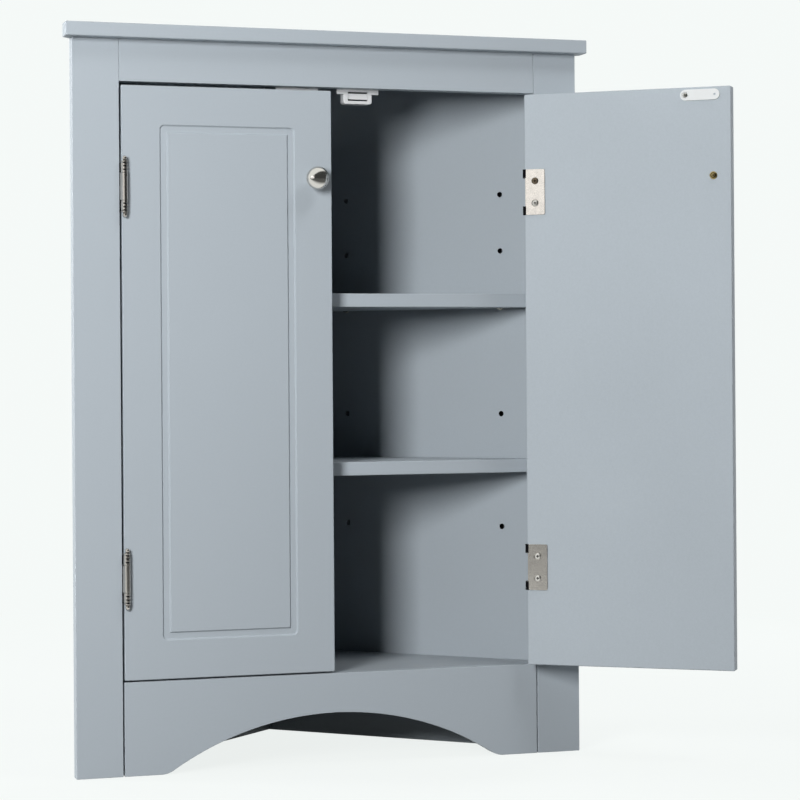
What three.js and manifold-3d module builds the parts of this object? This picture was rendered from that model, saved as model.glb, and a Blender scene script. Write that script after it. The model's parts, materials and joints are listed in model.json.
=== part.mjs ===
// Corner cupboard: a three-sided cabinet that stands in the corner of a room, with two doors,
// two loose shelves on pins and an arched foot rail. Millimetres, Z up.
// X runs along the front, Y runs back towards the room corner. While it is built, Y is zero on the
// front of the frame. The finished group is then moved so that the origin is on the floor, in the
// middle of the thickness of the side panel that reaches the room corner.

import * as THREE from 'three';
import { mergeVertices } from 'three/addons/utils/BufferGeometryUtils.js';
import Module from 'manifold-3d';

// Carcass boards
const totalHeight = 800;
const frontWidth = 572;
const boardThickness = 15;
const sideThickness = 12;
const stileWidth = 50;
const topRailHeight = 45;
const footRailHeight = 100;
const topFrontOverhang = 14;
const topSideOverhang = 9;
const floorDrop = 0.5;
const glueGap = 0.3;

// Arch cut in the foot rail
const archRise = 57;
const archFootRadius = 25;
const archLand = 41.3;

// Loose shelves and the pins that carry them
const shelfSetback = 10;
const pinRadius = 2.5;
const pinDepthInWall = 8;
const pinReach = 7;
const pinCollarRadius = 3.4;
const pinCollarThickness = 1;
const pinHolePitch = 64.5;
const frontPinInset = 71;
const rearPinInset = 110;
const notchDepth = 4;
const notchMargin = 1.2;
const upperPinHeightShare = 0.587;
const lowerPinHeightShare = 0.315;
const upperHoleSteps = [0, 1, 2];
const lowerHoleSteps = [-1, 0, 1];

// Gaps round the doors
const doorTopGap = 3.5;
const doorBottomGap = 1.5;
const doorMiddleGap = 2;
const rightDoorOpenDegrees = 143;

// Groove cut in the front of each door, which leaves a raised field in the middle
const grooveInset = 41.5;
const grooveDepth = 1.8;
const grooveCornerRadius = 5;
const grooveFloorWidth = 7.6;
const grooveSlopeWidth = 1.4;

// Wrap-round hinges: pin, knuckles and leaves
const hingePinRadius = 1.75;
const leafThickness = 1.2;
const leafClearance = 0.4;
const leafHeight = 50.8;
const leafReach = 24;
const hingeInset = 109;
const hingeAxisInset = 2.9;
const barrelStandoff = 0.75;
const middleKnuckleHeight = 29;
const endKnuckleHeight = 12.5;
const knuckleGap = 0.3;
const tabHeight = 9.8;
const tipNeckHeight = 0.8;
const tipRadius = 2.5;
const tipDegrees = [-50, -5, 40];

// Screws
const hingeScrewInset = 12.8;
const hingeScrewSpacing = 24.5;
const woodScrewHeadRadius = 3.4;
const woodScrewShankRadius = 1.7;
const woodScrewDome = 0.5;
const woodScrewBiteShare = 0.7;
const recessWidth = 0.9;
const recessDepth = 0.8;
const recessLengthShare = 0.6;

// Knob and the machine screw that holds it from inside the door
const knobEdgeInset = 19.5;
const knobDrop = 97;
const knobRadius = 12.6;
const knobProjection = 22;
const knobFootRadius = 7.5;
const knobNeckRadius = 5;
const knobHeightShares = { foot: 0.08, neck: 0.36, under: 0.62, rim: 0.72, crown: 0.77 };
const knobRimShare = 0.97;
const knobDomeShares = [1, 0.9, 0.72, 0.4];
const knobScrewRadius = 2;
const knobScrewHeadRadius = 4.25;
const knobScrewHeadHeight = 2.2;
const knobScrewBite = 9;

// Magnetic catches behind the top rail, and the plates that they hold
const catchCentre = 34.8;
const catchBodyWidth = 32.5;
const catchBodyDepth = 13;
const catchHang = 15.6;
const catchEarWidth = 48;
const catchEarThickness = 2.4;
const catchEarHang = 5;
const catchEarHeight = 17;
const catchCornerRadius = 3;
const catchScrewHoleRadius = 1.7;
const poleWidth = 22;
const poleThickness = 1.4;
const poleSpacing = 7.9;
const lowerPoleHang = 11.2;
const magnetDepth = 10;
const magnetSetback = 0.5;
const strikeLength = 43.5;
const strikeHeight = 12;
const strikeThickness = 1.2;
const strikeDrop = 3;
const strikeHoleSpacing = 32.5;
const strikeNibRadius = 1.3;

// Clearances that pieces share, and how far a cutter runs past the face that it cuts
const seatGap = 0.3;
const holeClearance = 0.3;
const overrun = 1;

// Facets
const smallRoundFacets = 10;
const knobFacets = 24;
const archSegments = 12;
const cornerSegments = 4;

// Sizes that follow from the ones above
const frontHalf = frontWidth / 2;
const openingHalf = frontHalf - stileWidth;
const frameHeight = totalHeight - boardThickness;
const openingTop = frameHeight - topRailHeight;
const floorTop = footRailHeight - floorDrop;
const insideHeight = frameHeight - floorTop;
const wallSum = frontHalf + boardThickness;
const sideRun = sideThickness * Math.SQRT2;
const innerSum = wallSum - sideRun;
const cornerDepth = wallSum - sideRun / 2;
const wallLength = (innerSum - boardThickness) * Math.SQRT2;
const shelfSideClearance = pinCollarThickness + 2 * seatGap;

const doorSideGap = leafThickness + 2 * leafClearance;
const doorWidth = (2 * openingHalf - 2 * doorSideGap - doorMiddleGap) / 2;
const doorBottom = footRailHeight + doorBottomGap;
const doorTop = openingTop - doorTopGap;
const doorHeight = doorTop - doorBottom;

const boreRadius = hingePinRadius + holeClearance;
const barrelRadius = boreRadius + leafThickness;
const axisProud = barrelRadius + barrelStandoff;
const axisHalf = openingHalf - doorSideGap - hingeAxisInset;
const doorFront = axisProud;
const doorBack = axisProud + boardThickness;
const leafFront = doorBack + seatGap;
const leafBack = leafFront + leafThickness;
const catchFront = boardThickness + strikeThickness + 3 * seatGap;
const hingeHeights = { upper: doorTop - hingeInset, lower: doorBottom + hingeInset };

const wasm = await Module();
wasm.setup();

const finishes = {
  paint: { color: 0xaab3ba, roughness: 0.6, metalness: 0 },
  nickel: { color: 0xc9c6bf, roughness: 0.3, metalness: 1 },
  zinc: { color: 0xb9b3a4, roughness: 0.4, metalness: 1 },
  brass: { color: 0xb99b4a, roughness: 0.4, metalness: 1 },
  whitePlastic: { color: 0xe8e8e4, roughness: 0.45, metalness: 0 },
  whiteSteel: { color: 0xeceeea, roughness: 0.35, metalness: 0 },
  darkSteel: { color: 0x4a4d50, roughness: 0.45, metalness: 1 },
};

// Add one named piece to a group
function addPiece(group, name, geometry, finish) {
  const mesh = new THREE.Mesh(geometry, new THREE.MeshStandardMaterial(finishes[finish]));
  mesh.name = name;
  group.add(mesh);
  return mesh;
}

// A closed geometry as a solid that can be joined and cut
function toSolid(geometry) {
  const bare = geometry.clone();
  bare.deleteAttribute('normal');
  bare.deleteAttribute('uv');
  const merged = mergeVertices(bare);
  return new wasm.Manifold(new wasm.Mesh({
    numProp: 3,
    vertProperties: new Float32Array(merged.attributes.position.array),
    triVerts: new Uint32Array(merged.index.array),
  }));
}

function toGeometry(solid) {
  const mesh = solid.getMesh();
  const geometry = new THREE.BufferGeometry();
  geometry.setAttribute('position', new THREE.BufferAttribute(mesh.vertProperties, mesh.numProp));
  geometry.setIndex(new THREE.BufferAttribute(mesh.triVerts, 1));
  return geometry;
}

function joined(geometries) {
  const [first, ...others] = geometries.map(toSolid);
  return toGeometry(others.reduce((whole, solid) => whole.add(solid), first));
}

function cut(geometry, cutters) {
  const whole = toSolid(geometry);
  return toGeometry(cutters.map(toSolid).reduce((left, cutter) => left.subtract(cutter), whole));
}

// A box between two corners, given in any order along each axis
function block([x0, x1], [y0, y1], [z0, z1]) {
  const geometry = new THREE.BoxGeometry(Math.abs(x1 - x0), Math.abs(y1 - y0), Math.abs(z1 - z0));
  return geometry.translate((x0 + x1) / 2, (y0 + y1) / 2, (z0 + z1) / 2);
}

// An outline in plan, raised from a given height
function planPlate(points, bottom, thickness) {
  const shape = new THREE.Shape(points.map(([x, y]) => new THREE.Vector2(x, y)));
  const geometry = new THREE.ExtrudeGeometry(shape, { depth: thickness, bevelEnabled: false });
  return geometry.translate(0, 0, bottom);
}

// An outline seen from the front, run back from a given depth
function frontPlate(shape, front, thickness, segments) {
  const settings = { depth: thickness, bevelEnabled: false, curveSegments: segments };
  const geometry = new THREE.ExtrudeGeometry(shape, settings);
  return geometry.rotateX(Math.PI / 2).translate(0, front + thickness, 0);
}

// A turned piece along Y from a list of radius and place
function turned(profile, facets) {
  return new THREE.LatheGeometry(profile.map(([r, y]) => new THREE.Vector2(r, y)), facets);
}

// A round cutter or peg along Y
function rod(radius, from, to, facets = smallRoundFacets) {
  return turned([[0, from], [radius, from], [radius, to], [0, to]], facets);
}

// A rectangle seen from the front, with rounded corners, centred on the origin
function roundedRectangle(width, height, radius) {
  const x = width / 2;
  const z = height / 2;
  const shape = new THREE.Shape();
  shape.moveTo(-x + radius, -z);
  shape.lineTo(x - radius, -z);
  shape.absarc(x - radius, -z + radius, radius, -Math.PI / 2, 0);
  shape.lineTo(x, z - radius);
  shape.absarc(x - radius, z - radius, radius, 0, Math.PI / 2);
  shape.lineTo(-x + radius, z);
  shape.absarc(-x + radius, z - radius, radius, Math.PI / 2, Math.PI);
  shape.lineTo(-x, -z + radius);
  shape.absarc(-x + radius, -z + radius, radius, Math.PI, 3 * Math.PI / 2);
  return shape;
}

// Countersunk wood screw along Y: its head faces +Y and its rim is at zero
function woodScrew(seatDepth) {
  const bite = boardThickness * woodScrewBiteShare;
  const tip = -seatDepth - bite;
  const taper = woodScrewShankRadius * 2;
  const body = turned([
    [0, tip],
    [woodScrewShankRadius, tip + taper],
    [woodScrewShankRadius, -seatDepth],
    [woodScrewHeadRadius, 0],
    [woodScrewHeadRadius * recessLengthShare, woodScrewDome],
    [0, woodScrewDome],
  ], smallRoundFacets);
  return cut(body, crossRecess(woodScrewHeadRadius, woodScrewDome));
}

// Two crossed slots for a screwdriver, sunk from the crown of a head
function crossRecess(headRadius, crown) {
  const half = headRadius * recessLengthShare;
  const slot = recessWidth / 2;
  const depth = [crown - recessDepth, crown + overrun];
  return [
    block([-half, half], depth, [-slot, slot]),
    block([-slot, slot], depth, [-half, half]),
  ];
}

// The hole that a wood screw needs in the plate under its head
function countersink(seatDepth) {
  const shank = woodScrewShankRadius + holeClearance;
  const rim = woodScrewHeadRadius + holeClearance;
  return turned([
    [0, -seatDepth - overrun],
    [shank, -seatDepth - overrun],
    [shank, -seatDepth],
    [rim, 0],
    [rim, overrun],
    [0, overrun],
  ], smallRoundFacets);
}

// The blind hole that a wood screw needs in a board, from the face that it enters
function pilotHole() {
  const depth = boardThickness * woodScrewBiteShare + seatGap;
  return rod(woodScrewShankRadius + holeClearance, -depth, overrun);
}

// A place on the inner face of a side panel, by its distance along the wall from the frame
function wallPlace(side, along, inward) {
  const step = along / Math.SQRT2;
  const rise = inward / Math.SQRT2;
  return [side * (innerSum - boardThickness - step - rise), boardThickness + step - rise];
}

// Turn a piece made along Y so that it points from a side panel into the cupboard
function facingInward(geometry, side) {
  return geometry.rotateZ(side * 3 * Math.PI / 4);
}

function pinColumns() {
  return { front: frontPinInset, rear: wallLength - rearPinInset };
}

function pinHeight(share) {
  return floorTop + insideHeight * share;
}

function holeHeights() {
  const upper = upperHoleSteps.map((step) => pinHeight(upperPinHeightShare) + step * pinHolePitch);
  const lower = lowerHoleSteps.map((step) => pinHeight(lowerPinHeightShare) + step * pinHolePitch);
  return [...upper, ...lower];
}

function topPanel() {
  const half = frontHalf + topSideOverhang;
  const outline = [
    [-half, -topFrontOverhang],
    [half, -topFrontOverhang],
    [half, wallSum - half],
    [0, wallSum],
    [-half, wallSum - half],
  ];
  return planPlate(outline, frameHeight, boardThickness);
}

// The left panel reaches the room corner, and the right panel butts against its inner face
function sidePanelOutline(side) {
  if (side < 0) {
    return [
      [-frontHalf, boardThickness],
      [-innerSum + boardThickness, boardThickness],
      [(wallSum - innerSum) / 2, (wallSum + innerSum) / 2],
      [0, wallSum],
    ];
  }
  const buttPlane = innerSum - glueGap * Math.SQRT2;
  return [
    [frontHalf, boardThickness],
    [(wallSum - buttPlane) / 2, (wallSum + buttPlane) / 2],
    [(innerSum - buttPlane) / 2, (innerSum + buttPlane) / 2],
    [innerSum - boardThickness, boardThickness],
  ];
}

function sidePanel(side) {
  const holes = [];
  for (const along of Object.values(pinColumns())) {
    const [x, y] = wallPlace(side, along, 0);
    for (const height of holeHeights()) {
      const hole = rod(pinRadius + holeClearance, -pinDepthInWall - seatGap, overrun);
      holes.push(facingInward(hole, side).translate(x, y, height));
    }
  }
  return cut(planPlate(sidePanelOutline(side), 0, frameHeight), holes);
}

// A three-sided board inside the cupboard, clear of both side panels
function cornerBoardOutline(front, clearance) {
  const tip = innerSum - clearance * Math.SQRT2;
  return [[front - tip, front], [tip - front, front], [0, tip]];
}

function floorPanel() {
  const outline = cornerBoardOutline(boardThickness, glueGap);
  return planPlate(outline, floorTop - boardThickness, boardThickness);
}

// A shelf has a notch over each pin, so that it can't slide off
function shelf(share) {
  const ceiling = pinHeight(share) + pinRadius + seatGap;
  const underside = ceiling - notchDepth;
  const front = boardThickness + shelfSetback;
  const outline = cornerBoardOutline(front, shelfSideClearance);
  const notches = [];
  for (const side of [-1, 1]) {
    for (const along of Object.values(pinColumns())) {
      const [x, y] = wallPlace(side, along, 0);
      const half = pinCollarRadius + notchMargin;
      const notch = block([-half, half], [0, pinReach + notchMargin], [underside - overrun, ceiling]);
      notches.push(facingInward(notch, side).translate(x, y, 0));
    }
  }
  return cut(planPlate(outline, underside, boardThickness), notches);
}

function shelfPin(side, along, height) {
  const [x, y] = wallPlace(side, along, 0);
  const collar = seatGap + pinCollarThickness;
  const profile = [
    [0, -pinDepthInWall],
    [pinRadius, -pinDepthInWall],
    [pinRadius, seatGap],
    [pinCollarRadius, seatGap],
    [pinCollarRadius, collar],
    [pinRadius, collar],
    [pinRadius, pinReach],
    [0, pinReach],
  ];
  return facingInward(turned(profile, smallRoundFacets), side).translate(x, y, height);
}

function hingeScrewHeights(centre) {
  return { top: centre + hingeScrewSpacing / 2, bottom: centre - hingeScrewSpacing / 2 };
}

function stile(side) {
  const x = [side * openingHalf, side * frontHalf];
  const screwX = side * (openingHalf + hingeScrewInset);
  const holes = [];
  for (const centre of Object.values(hingeHeights)) {
    for (const height of Object.values(hingeScrewHeights(centre))) {
      holes.push(pilotHole().translate(screwX, boardThickness, height));
    }
  }
  return cut(block(x, [0, boardThickness], [0, frameHeight]), holes);
}

function topRail() {
  return block([-openingHalf, openingHalf], [0, boardThickness], [openingTop, frameHeight]);
}

// The arch is one arc, which turns into the floor line by a rounded foot on each side. Its radius
// follows from its rise and from the land that it leaves beside each stile
function footRail() {
  const footX = openingHalf - archLand;
  const reach = (footX ** 2 + archRise ** 2) / (2 * archRise);
  const archRadius = reach - archFootRadius;
  const centreDrop = archRadius - archRise;
  const angle = Math.atan2(archFootRadius + centreDrop, footX);
  const shape = new THREE.Shape();
  shape.moveTo(-openingHalf, 0);
  shape.lineTo(-footX, 0);
  shape.absarc(-footX, archFootRadius, archFootRadius, -Math.PI / 2, -angle, false);
  shape.absarc(0, -centreDrop, archRadius, Math.PI - angle, angle, true);
  shape.absarc(footX, archFootRadius, archFootRadius, Math.PI + angle, 3 * Math.PI / 2, false);
  shape.lineTo(openingHalf, 0);
  shape.lineTo(openingHalf, footRailHeight);
  shape.lineTo(-openingHalf, footRailHeight);
  return frontPlate(shape, 0, boardThickness, archSegments);
}

// Catch housing: a body with two ears, and a pad that stands it off the back of the top rail
function catchHousing(side) {
  const front = catchFront;
  const bottom = -catchHang;
  const half = catchBodyWidth / 2;
  const earHalf = catchEarWidth / 2;
  const radius = catchCornerRadius;
  const face = new THREE.Shape();
  face.moveTo(-half + radius, bottom);
  face.lineTo(half - radius, bottom);
  face.absarc(half - radius, bottom + radius, radius, -Math.PI / 2, 0);
  face.lineTo(half, -catchEarHang);
  face.lineTo(earHalf, -catchEarHang);
  face.lineTo(earHalf, catchEarHeight);
  face.lineTo(-earHalf, catchEarHeight);
  face.lineTo(-earHalf, -catchEarHang);
  face.lineTo(-half, -catchEarHang);
  face.lineTo(-half, bottom + radius);
  face.absarc(-half + radius, bottom + radius, radius, Math.PI, 3 * Math.PI / 2);
  const ears = frontPlate(face, front, catchEarThickness, cornerSegments);
  const pad = block([-earHalf, earHalf], [boardThickness, front + overrun], [0, catchEarHeight]);
  const core = block([-half, half], [front, front + catchBodyDepth], [bottom + radius, catchEarHeight]);
  const pocketHalf = poleWidth / 2 + holeClearance;
  const margin = poleThickness / 2 + holeClearance;
  const pocketBottom = -lowerPoleHang - margin;
  const pocketTop = -lowerPoleHang + poleSpacing + margin;
  const pocketBack = front + magnetSetback + magnetDepth + holeClearance;
  const pocket = block([-pocketHalf, pocketHalf], [front - overrun, pocketBack], [pocketBottom, pocketTop]);
  const cutters = [pocket];
  for (const end of [-1, 1]) {
    const hole = rod(catchScrewHoleRadius, boardThickness - overrun, front + catchEarThickness + overrun);
    cutters.push(hole.translate(end * (half + earHalf) / 2, 0, catchEarHeight / 2));
  }
  return cut(joined([ears, pad, core]), cutters).translate(side * catchCentre, 0, openingTop);
}

// Two steel poles with the magnet block between them, sunk in the catch housing
function catchMagnet(side) {
  const front = catchFront + magnetSetback;
  const back = front + magnetDepth;
  const half = poleWidth / 2;
  const lower = -lowerPoleHang;
  const upper = lower + poleSpacing;
  const pole = (height) => [height - poleThickness / 2, height + poleThickness / 2];
  const magnet = block([-half, half], [front + poleThickness, back], [lower, upper]);
  const poles = [lower, upper].map((height) => block([-half, half], [front, back], pole(height)));
  return joined([magnet, ...poles]).translate(side * catchCentre, 0, openingTop);
}

// From here on, pieces are drawn from a hinge axis: u runs from it towards the free edge of the
// closed door, and the side turns u into x
function across(side, u0, u1) {
  return [-side * u0, -side * u1];
}

function knuckle(from, to) {
  const tube = rod(barrelRadius, from, to);
  const bore = rod(boreRadius, from - overrun, to + overrun);
  return cut(tube, [bore]).rotateX(Math.PI / 2);
}

// The strip that leaves a knuckle and runs back through the gap between door and stile
function leafStrip(side, from, to, back) {
  const inner = hingeAxisInset + leafClearance;
  const outer = inner + leafThickness;
  const rootHalf = boreRadius / 2;
  const rootReach = boreRadius + leafThickness / 2;
  return [
    block(across(side, -outer, -inner), [-rootHalf, back], [from, to]),
    block(across(side, -outer, -rootReach), [-rootHalf, rootHalf], [from, to]),
  ];
}

// The screw holes of a leaf, which differ only in where the leaf lies
function leafHoles(side, u) {
  return Object.values(hingeScrewHeights(0)).map((height) => (
    countersink(leafThickness).translate(-side * u, leafBack, height)
  ));
}

// The frame's leaf: middle knuckle, strip round the stile, and the plate behind it
function frameLeaf(side) {
  const half = middleKnuckleHeight / 2;
  const edge = hingeAxisInset + doorSideGap;
  const strip = hingeAxisInset + leafClearance;
  const plate = block(
    across(side, -edge - leafReach, -edge - leafClearance),
    [leafFront, leafBack],
    [-leafHeight / 2, leafHeight / 2],
  );
  const bridge = block(across(side, -edge - leafReach, -strip), [leafFront, leafBack], [-half, half]);
  const leaf = joined([knuckle(-half, half), ...leafStrip(side, -half, half, leafBack), plate, bridge]);
  return cut(leaf, leafHoles(side, -edge - hingeScrewInset));
}

// The door's leaf: two end knuckles, a tab from each round the door's edge, and the plate inside
function doorLeaf(side) {
  const start = middleKnuckleHeight / 2 + knuckleGap;
  const end = start + endKnuckleHeight;
  const tabEnd = leafHeight / 2;
  const tabStart = tabEnd - tabHeight;
  const edge = -hingeAxisInset + leafClearance;
  const reach = -hingeAxisInset + leafReach;
  const strip = -hingeAxisInset - leafClearance - leafThickness;
  const pieces = [
    block(across(side, edge, reach), [leafFront, leafBack], [-tabEnd, tabEnd]),
  ];
  for (const way of [-1, 1]) {
    pieces.push(knuckle(Math.min(way * start, way * end), Math.max(way * start, way * end)));
    pieces.push(...leafStrip(side, way * tabStart, way * tabEnd, leafBack));
    const tab = block(across(side, strip, reach), [leafFront, leafBack], [way * tabStart, way * tabEnd]);
    pieces.push(tab);
  }
  return cut(joined(pieces), leafHoles(side, hingeScrewInset - hingeAxisInset));
}

// Hinge pin with a small ball at each end
function hingePin() {
  const shaftEnd = middleKnuckleHeight / 2 + knuckleGap + endKnuckleHeight + seatGap;
  const neckEnd = shaftEnd + tipNeckHeight;
  const ballRise = tipRadius * Math.sin(THREE.MathUtils.degToRad(-tipDegrees[0]));
  const ball = tipDegrees.map((degrees) => {
    const angle = THREE.MathUtils.degToRad(degrees);
    return [tipRadius * Math.cos(angle), neckEnd + ballRise + tipRadius * Math.sin(angle)];
  });
  const upper = [
    [hingePinRadius, shaftEnd],
    [barrelRadius, shaftEnd],
    [barrelRadius, neckEnd - tipNeckHeight / 2],
    ...ball,
    [0, neckEnd + ballRise + tipRadius],
  ];
  const lower = upper.map(([r, y]) => [r, -y]).reverse();
  return turned([...lower, ...upper], smallRoundFacets).rotateX(Math.PI / 2);
}

// Door slab with its groove and the holes for everything screwed to it
function doorSlab(side) {
  const middle = -side * (doorWidth / 2 - hingeAxisInset);
  const centreHeight = (doorBottom + doorTop) / 2;
  const slab = block(
    across(side, -hingeAxisInset, doorWidth - hingeAxisInset),
    [doorFront, doorBack],
    [doorBottom, doorTop],
  );
  const grooveWidth = doorWidth - 2 * grooveInset;
  const grooveHeight = doorHeight - 2 * grooveInset;
  const trench = frontPlate(
    roundedRectangle(grooveWidth, grooveHeight, grooveCornerRadius),
    doorFront - overrun,
    grooveDepth + overrun,
    cornerSegments,
  ).translate(middle, 0, centreHeight);
  const groove = cut(trench, [raisedField(grooveWidth, grooveHeight).translate(middle, 0, centreHeight)]);
  const cutters = [groove];
  for (const centre of Object.values(hingeHeights)) {
    for (const height of Object.values(hingeScrewHeights(centre))) {
      cutters.push(pilotHole().translate(-side * (hingeScrewInset - hingeAxisInset), doorBack, height));
    }
  }
  const knobHole = rod(knobScrewRadius + holeClearance, doorFront - overrun, doorBack + overrun);
  cutters.push(knobHole.translate(-side * knobU(), 0, doorTop - knobDrop));
  cutters.push(pilotHole().translate(-side * (strikeU() - strikeHoleSpacing / 2), doorBack, strikeZ()));
  return cut(slab, cutters);
}

// The raised field inside the groove: flat on top, with sloping edges that meet in mitres
function raisedField(grooveWidth, grooveHeight) {
  const topInset = grooveFloorWidth + grooveSlopeWidth;
  const shape = new THREE.Shape();
  const x = grooveWidth / 2 - topInset;
  const z = grooveHeight / 2 - topInset;
  shape.moveTo(-x, -z);
  shape.lineTo(x, -z);
  shape.lineTo(x, z);
  shape.lineTo(-x, z);
  const settings = {
    depth: overrun,
    bevelEnabled: true,
    bevelThickness: grooveDepth,
    bevelSize: grooveSlopeWidth,
    bevelSegments: 1,
  };
  const sloped = new THREE.ExtrudeGeometry(shape, settings).rotateX(Math.PI / 2);
  const crown = block([-x, x], [doorFront - 2 * overrun, doorFront + overrun / 2], [-z, z]);
  return joined([sloped.translate(0, doorFront + grooveDepth + overrun, 0), crown]);
}

function knobU() {
  return doorWidth - hingeAxisInset - knobEdgeInset;
}

function strikeU() {
  return axisHalf - catchCentre;
}

function strikeZ() {
  return doorTop - strikeDrop - strikeHeight / 2;
}

// Mushroom knob, turned, with a threaded hole up its stem
function knob(side) {
  const foot = knobProjection * knobHeightShares.foot;
  const crown = knobProjection * knobHeightShares.crown;
  const domeHeight = knobProjection - crown;
  const dome = knobDomeShares.map((share) => (
    [knobRadius * share, crown + domeHeight * Math.sqrt(1 - share ** 2)]
  ));
  const profile = [
    [0, 0],
    [knobFootRadius, 0],
    [knobFootRadius - foot / 2, foot],
    [knobNeckRadius, knobProjection * knobHeightShares.neck],
    [(knobNeckRadius + knobRadius) / 2, knobProjection * knobHeightShares.under],
    [knobRadius * knobRimShare, knobProjection * knobHeightShares.rim],
    ...dome,
    [0, knobProjection],
  ];
  const bore = rod(knobScrewRadius + holeClearance, -overrun, knobScrewBite + seatGap);
  const body = cut(turned(profile, knobFacets), [bore]).rotateX(Math.PI);
  return body.translate(-side * knobU(), doorFront - seatGap, doorTop - knobDrop);
}

// The machine screw that comes through the door into the knob
function knobScrew(side) {
  const head = doorBack + seatGap;
  const crown = head + knobScrewHeadHeight;
  const body = turned([
    [0, doorFront - seatGap - knobScrewBite],
    [knobScrewRadius, doorFront - seatGap - knobScrewBite],
    [knobScrewRadius, head],
    [knobScrewHeadRadius, head],
    [knobScrewHeadRadius, head + knobScrewHeadHeight / 2],
    [knobScrewHeadRadius * recessLengthShare, crown],
    [0, crown],
  ], smallRoundFacets);
  const screw = cut(body, crossRecess(knobScrewHeadRadius, crown));
  return screw.translate(-side * knobU(), 0, doorTop - knobDrop);
}

// Steel plate with round ends inside the door, which the catch pulls on
function strikePlate(side) {
  const radius = strikeHeight / 2;
  const front = doorBack + seatGap;
  const outline = roundedRectangle(strikeLength, strikeHeight, radius);
  const plate = frontPlate(outline, front, strikeThickness, cornerSegments);
  const screwX = side * strikeHoleSpacing / 2;
  const nib = rod(strikeNibRadius, front - overrun, front + strikeThickness + overrun);
  const sink = countersink(strikeThickness).translate(screwX, front + strikeThickness, 0);
  return cut(plate, [nib.translate(-screwX, 0, 0), sink]).translate(-side * strikeU(), 0, strikeZ());
}

function strikeScrew(side) {
  const x = -side * (strikeU() - strikeHoleSpacing / 2);
  const seat = strikeThickness + seatGap;
  return woodScrew(strikeThickness).translate(x, doorBack + seat, strikeZ());
}

// Everything that stays still when the doors move
function carcass() {
  const group = new THREE.Group();
  addPiece(group, 'top_panel', topPanel(), 'paint');
  addPiece(group, 'floor_panel', floorPanel(), 'paint');
  addPiece(group, 'top_rail', topRail(), 'paint');
  addPiece(group, 'foot_rail', footRail(), 'paint');
  addPiece(group, 'upper_shelf', shelf(upperPinHeightShare), 'paint');
  addPiece(group, 'lower_shelf', shelf(lowerPinHeightShare), 'paint');
  for (const [sideName, side] of [['left', -1], ['right', 1]]) {
    addPiece(group, `${sideName}_side_panel`, sidePanel(side), 'paint');
    addPiece(group, `${sideName}_stile`, stile(side), 'paint');
    addPiece(group, `${sideName}_catch_housing`, catchHousing(side), 'whitePlastic');
    addPiece(group, `${sideName}_catch_magnet`, catchMagnet(side), 'darkSteel');
    addShelfPins(group, sideName, side);
    addFrameLeaves(group, sideName, side);
  }
  return group;
}

function addShelfPins(group, sideName, side) {
  const shelves = { upper: upperPinHeightShare, lower: lowerPinHeightShare };
  for (const [shelfName, share] of Object.entries(shelves)) {
    for (const [columnName, along] of Object.entries(pinColumns())) {
      const name = `${shelfName}_shelf_pin_${sideName}_${columnName}`;
      addPiece(group, name, shelfPin(side, along, pinHeight(share)), 'zinc');
    }
  }
}

function addFrameLeaves(group, sideName, side) {
  const screwX = side * (openingHalf + hingeScrewInset);
  const rim = leafBack - axisProud;
  for (const [place, centre] of Object.entries(hingeHeights)) {
    const leaf = frameLeaf(side).translate(side * axisHalf, -axisProud, centre);
    addPiece(group, `${sideName}_${place}_frame_leaf`, leaf, 'nickel');
    for (const [end, height] of Object.entries(hingeScrewHeights(centre))) {
      const screw = woodScrew(leafThickness).translate(screwX, rim, height);
      addPiece(group, `${sideName}_${place}_frame_screw_${end}`, screw, 'nickel');
    }
  }
}

// One door with all that turns with it, drawn closed round its hinge axis
function door(sideName, side) {
  const group = new THREE.Group();
  addPiece(group, `${sideName}_door`, doorSlab(side), 'paint');
  addPiece(group, `${sideName}_knob`, knob(side), 'nickel');
  addPiece(group, `${sideName}_knob_screw`, knobScrew(side), 'brass');
  addPiece(group, `${sideName}_strike_plate`, strikePlate(side), 'whiteSteel');
  addPiece(group, `${sideName}_strike_screw`, strikeScrew(side), 'zinc');
  const screwX = -side * (hingeScrewInset - hingeAxisInset);
  for (const [place, centre] of Object.entries(hingeHeights)) {
    addPiece(group, `${sideName}_${place}_door_leaf`, doorLeaf(side).translate(0, 0, centre), 'nickel');
    addPiece(group, `${sideName}_${place}_hinge_pin`, hingePin().translate(0, 0, centre), 'nickel');
    for (const [end, height] of Object.entries(hingeScrewHeights(centre))) {
      const screw = woodScrew(leafThickness).translate(screwX, leafBack, height);
      addPiece(group, `${sideName}_${place}_door_screw_${end}`, screw, 'nickel');
    }
  }
  group.position.set(side * axisHalf, -axisProud, 0);
  return group;
}

const cupboard = new THREE.Group();
cupboard.add(carcass());
cupboard.add(door('left', -1));

const rightDoor = door('right', 1);
rightDoor.rotation.z = THREE.MathUtils.degToRad(rightDoorOpenDegrees);
cupboard.add(rightDoor);

cupboard.position.y = -cornerDepth;

export default cupboard;
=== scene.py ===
# A corner cupboard in painted board, with its right door open, in a plain pale studio.
# Metres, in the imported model's frame: X along the front, Y back to the room corner, Z up.

import json
import math

import bmesh
import bpy
from mathutils import Matrix, Vector


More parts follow.
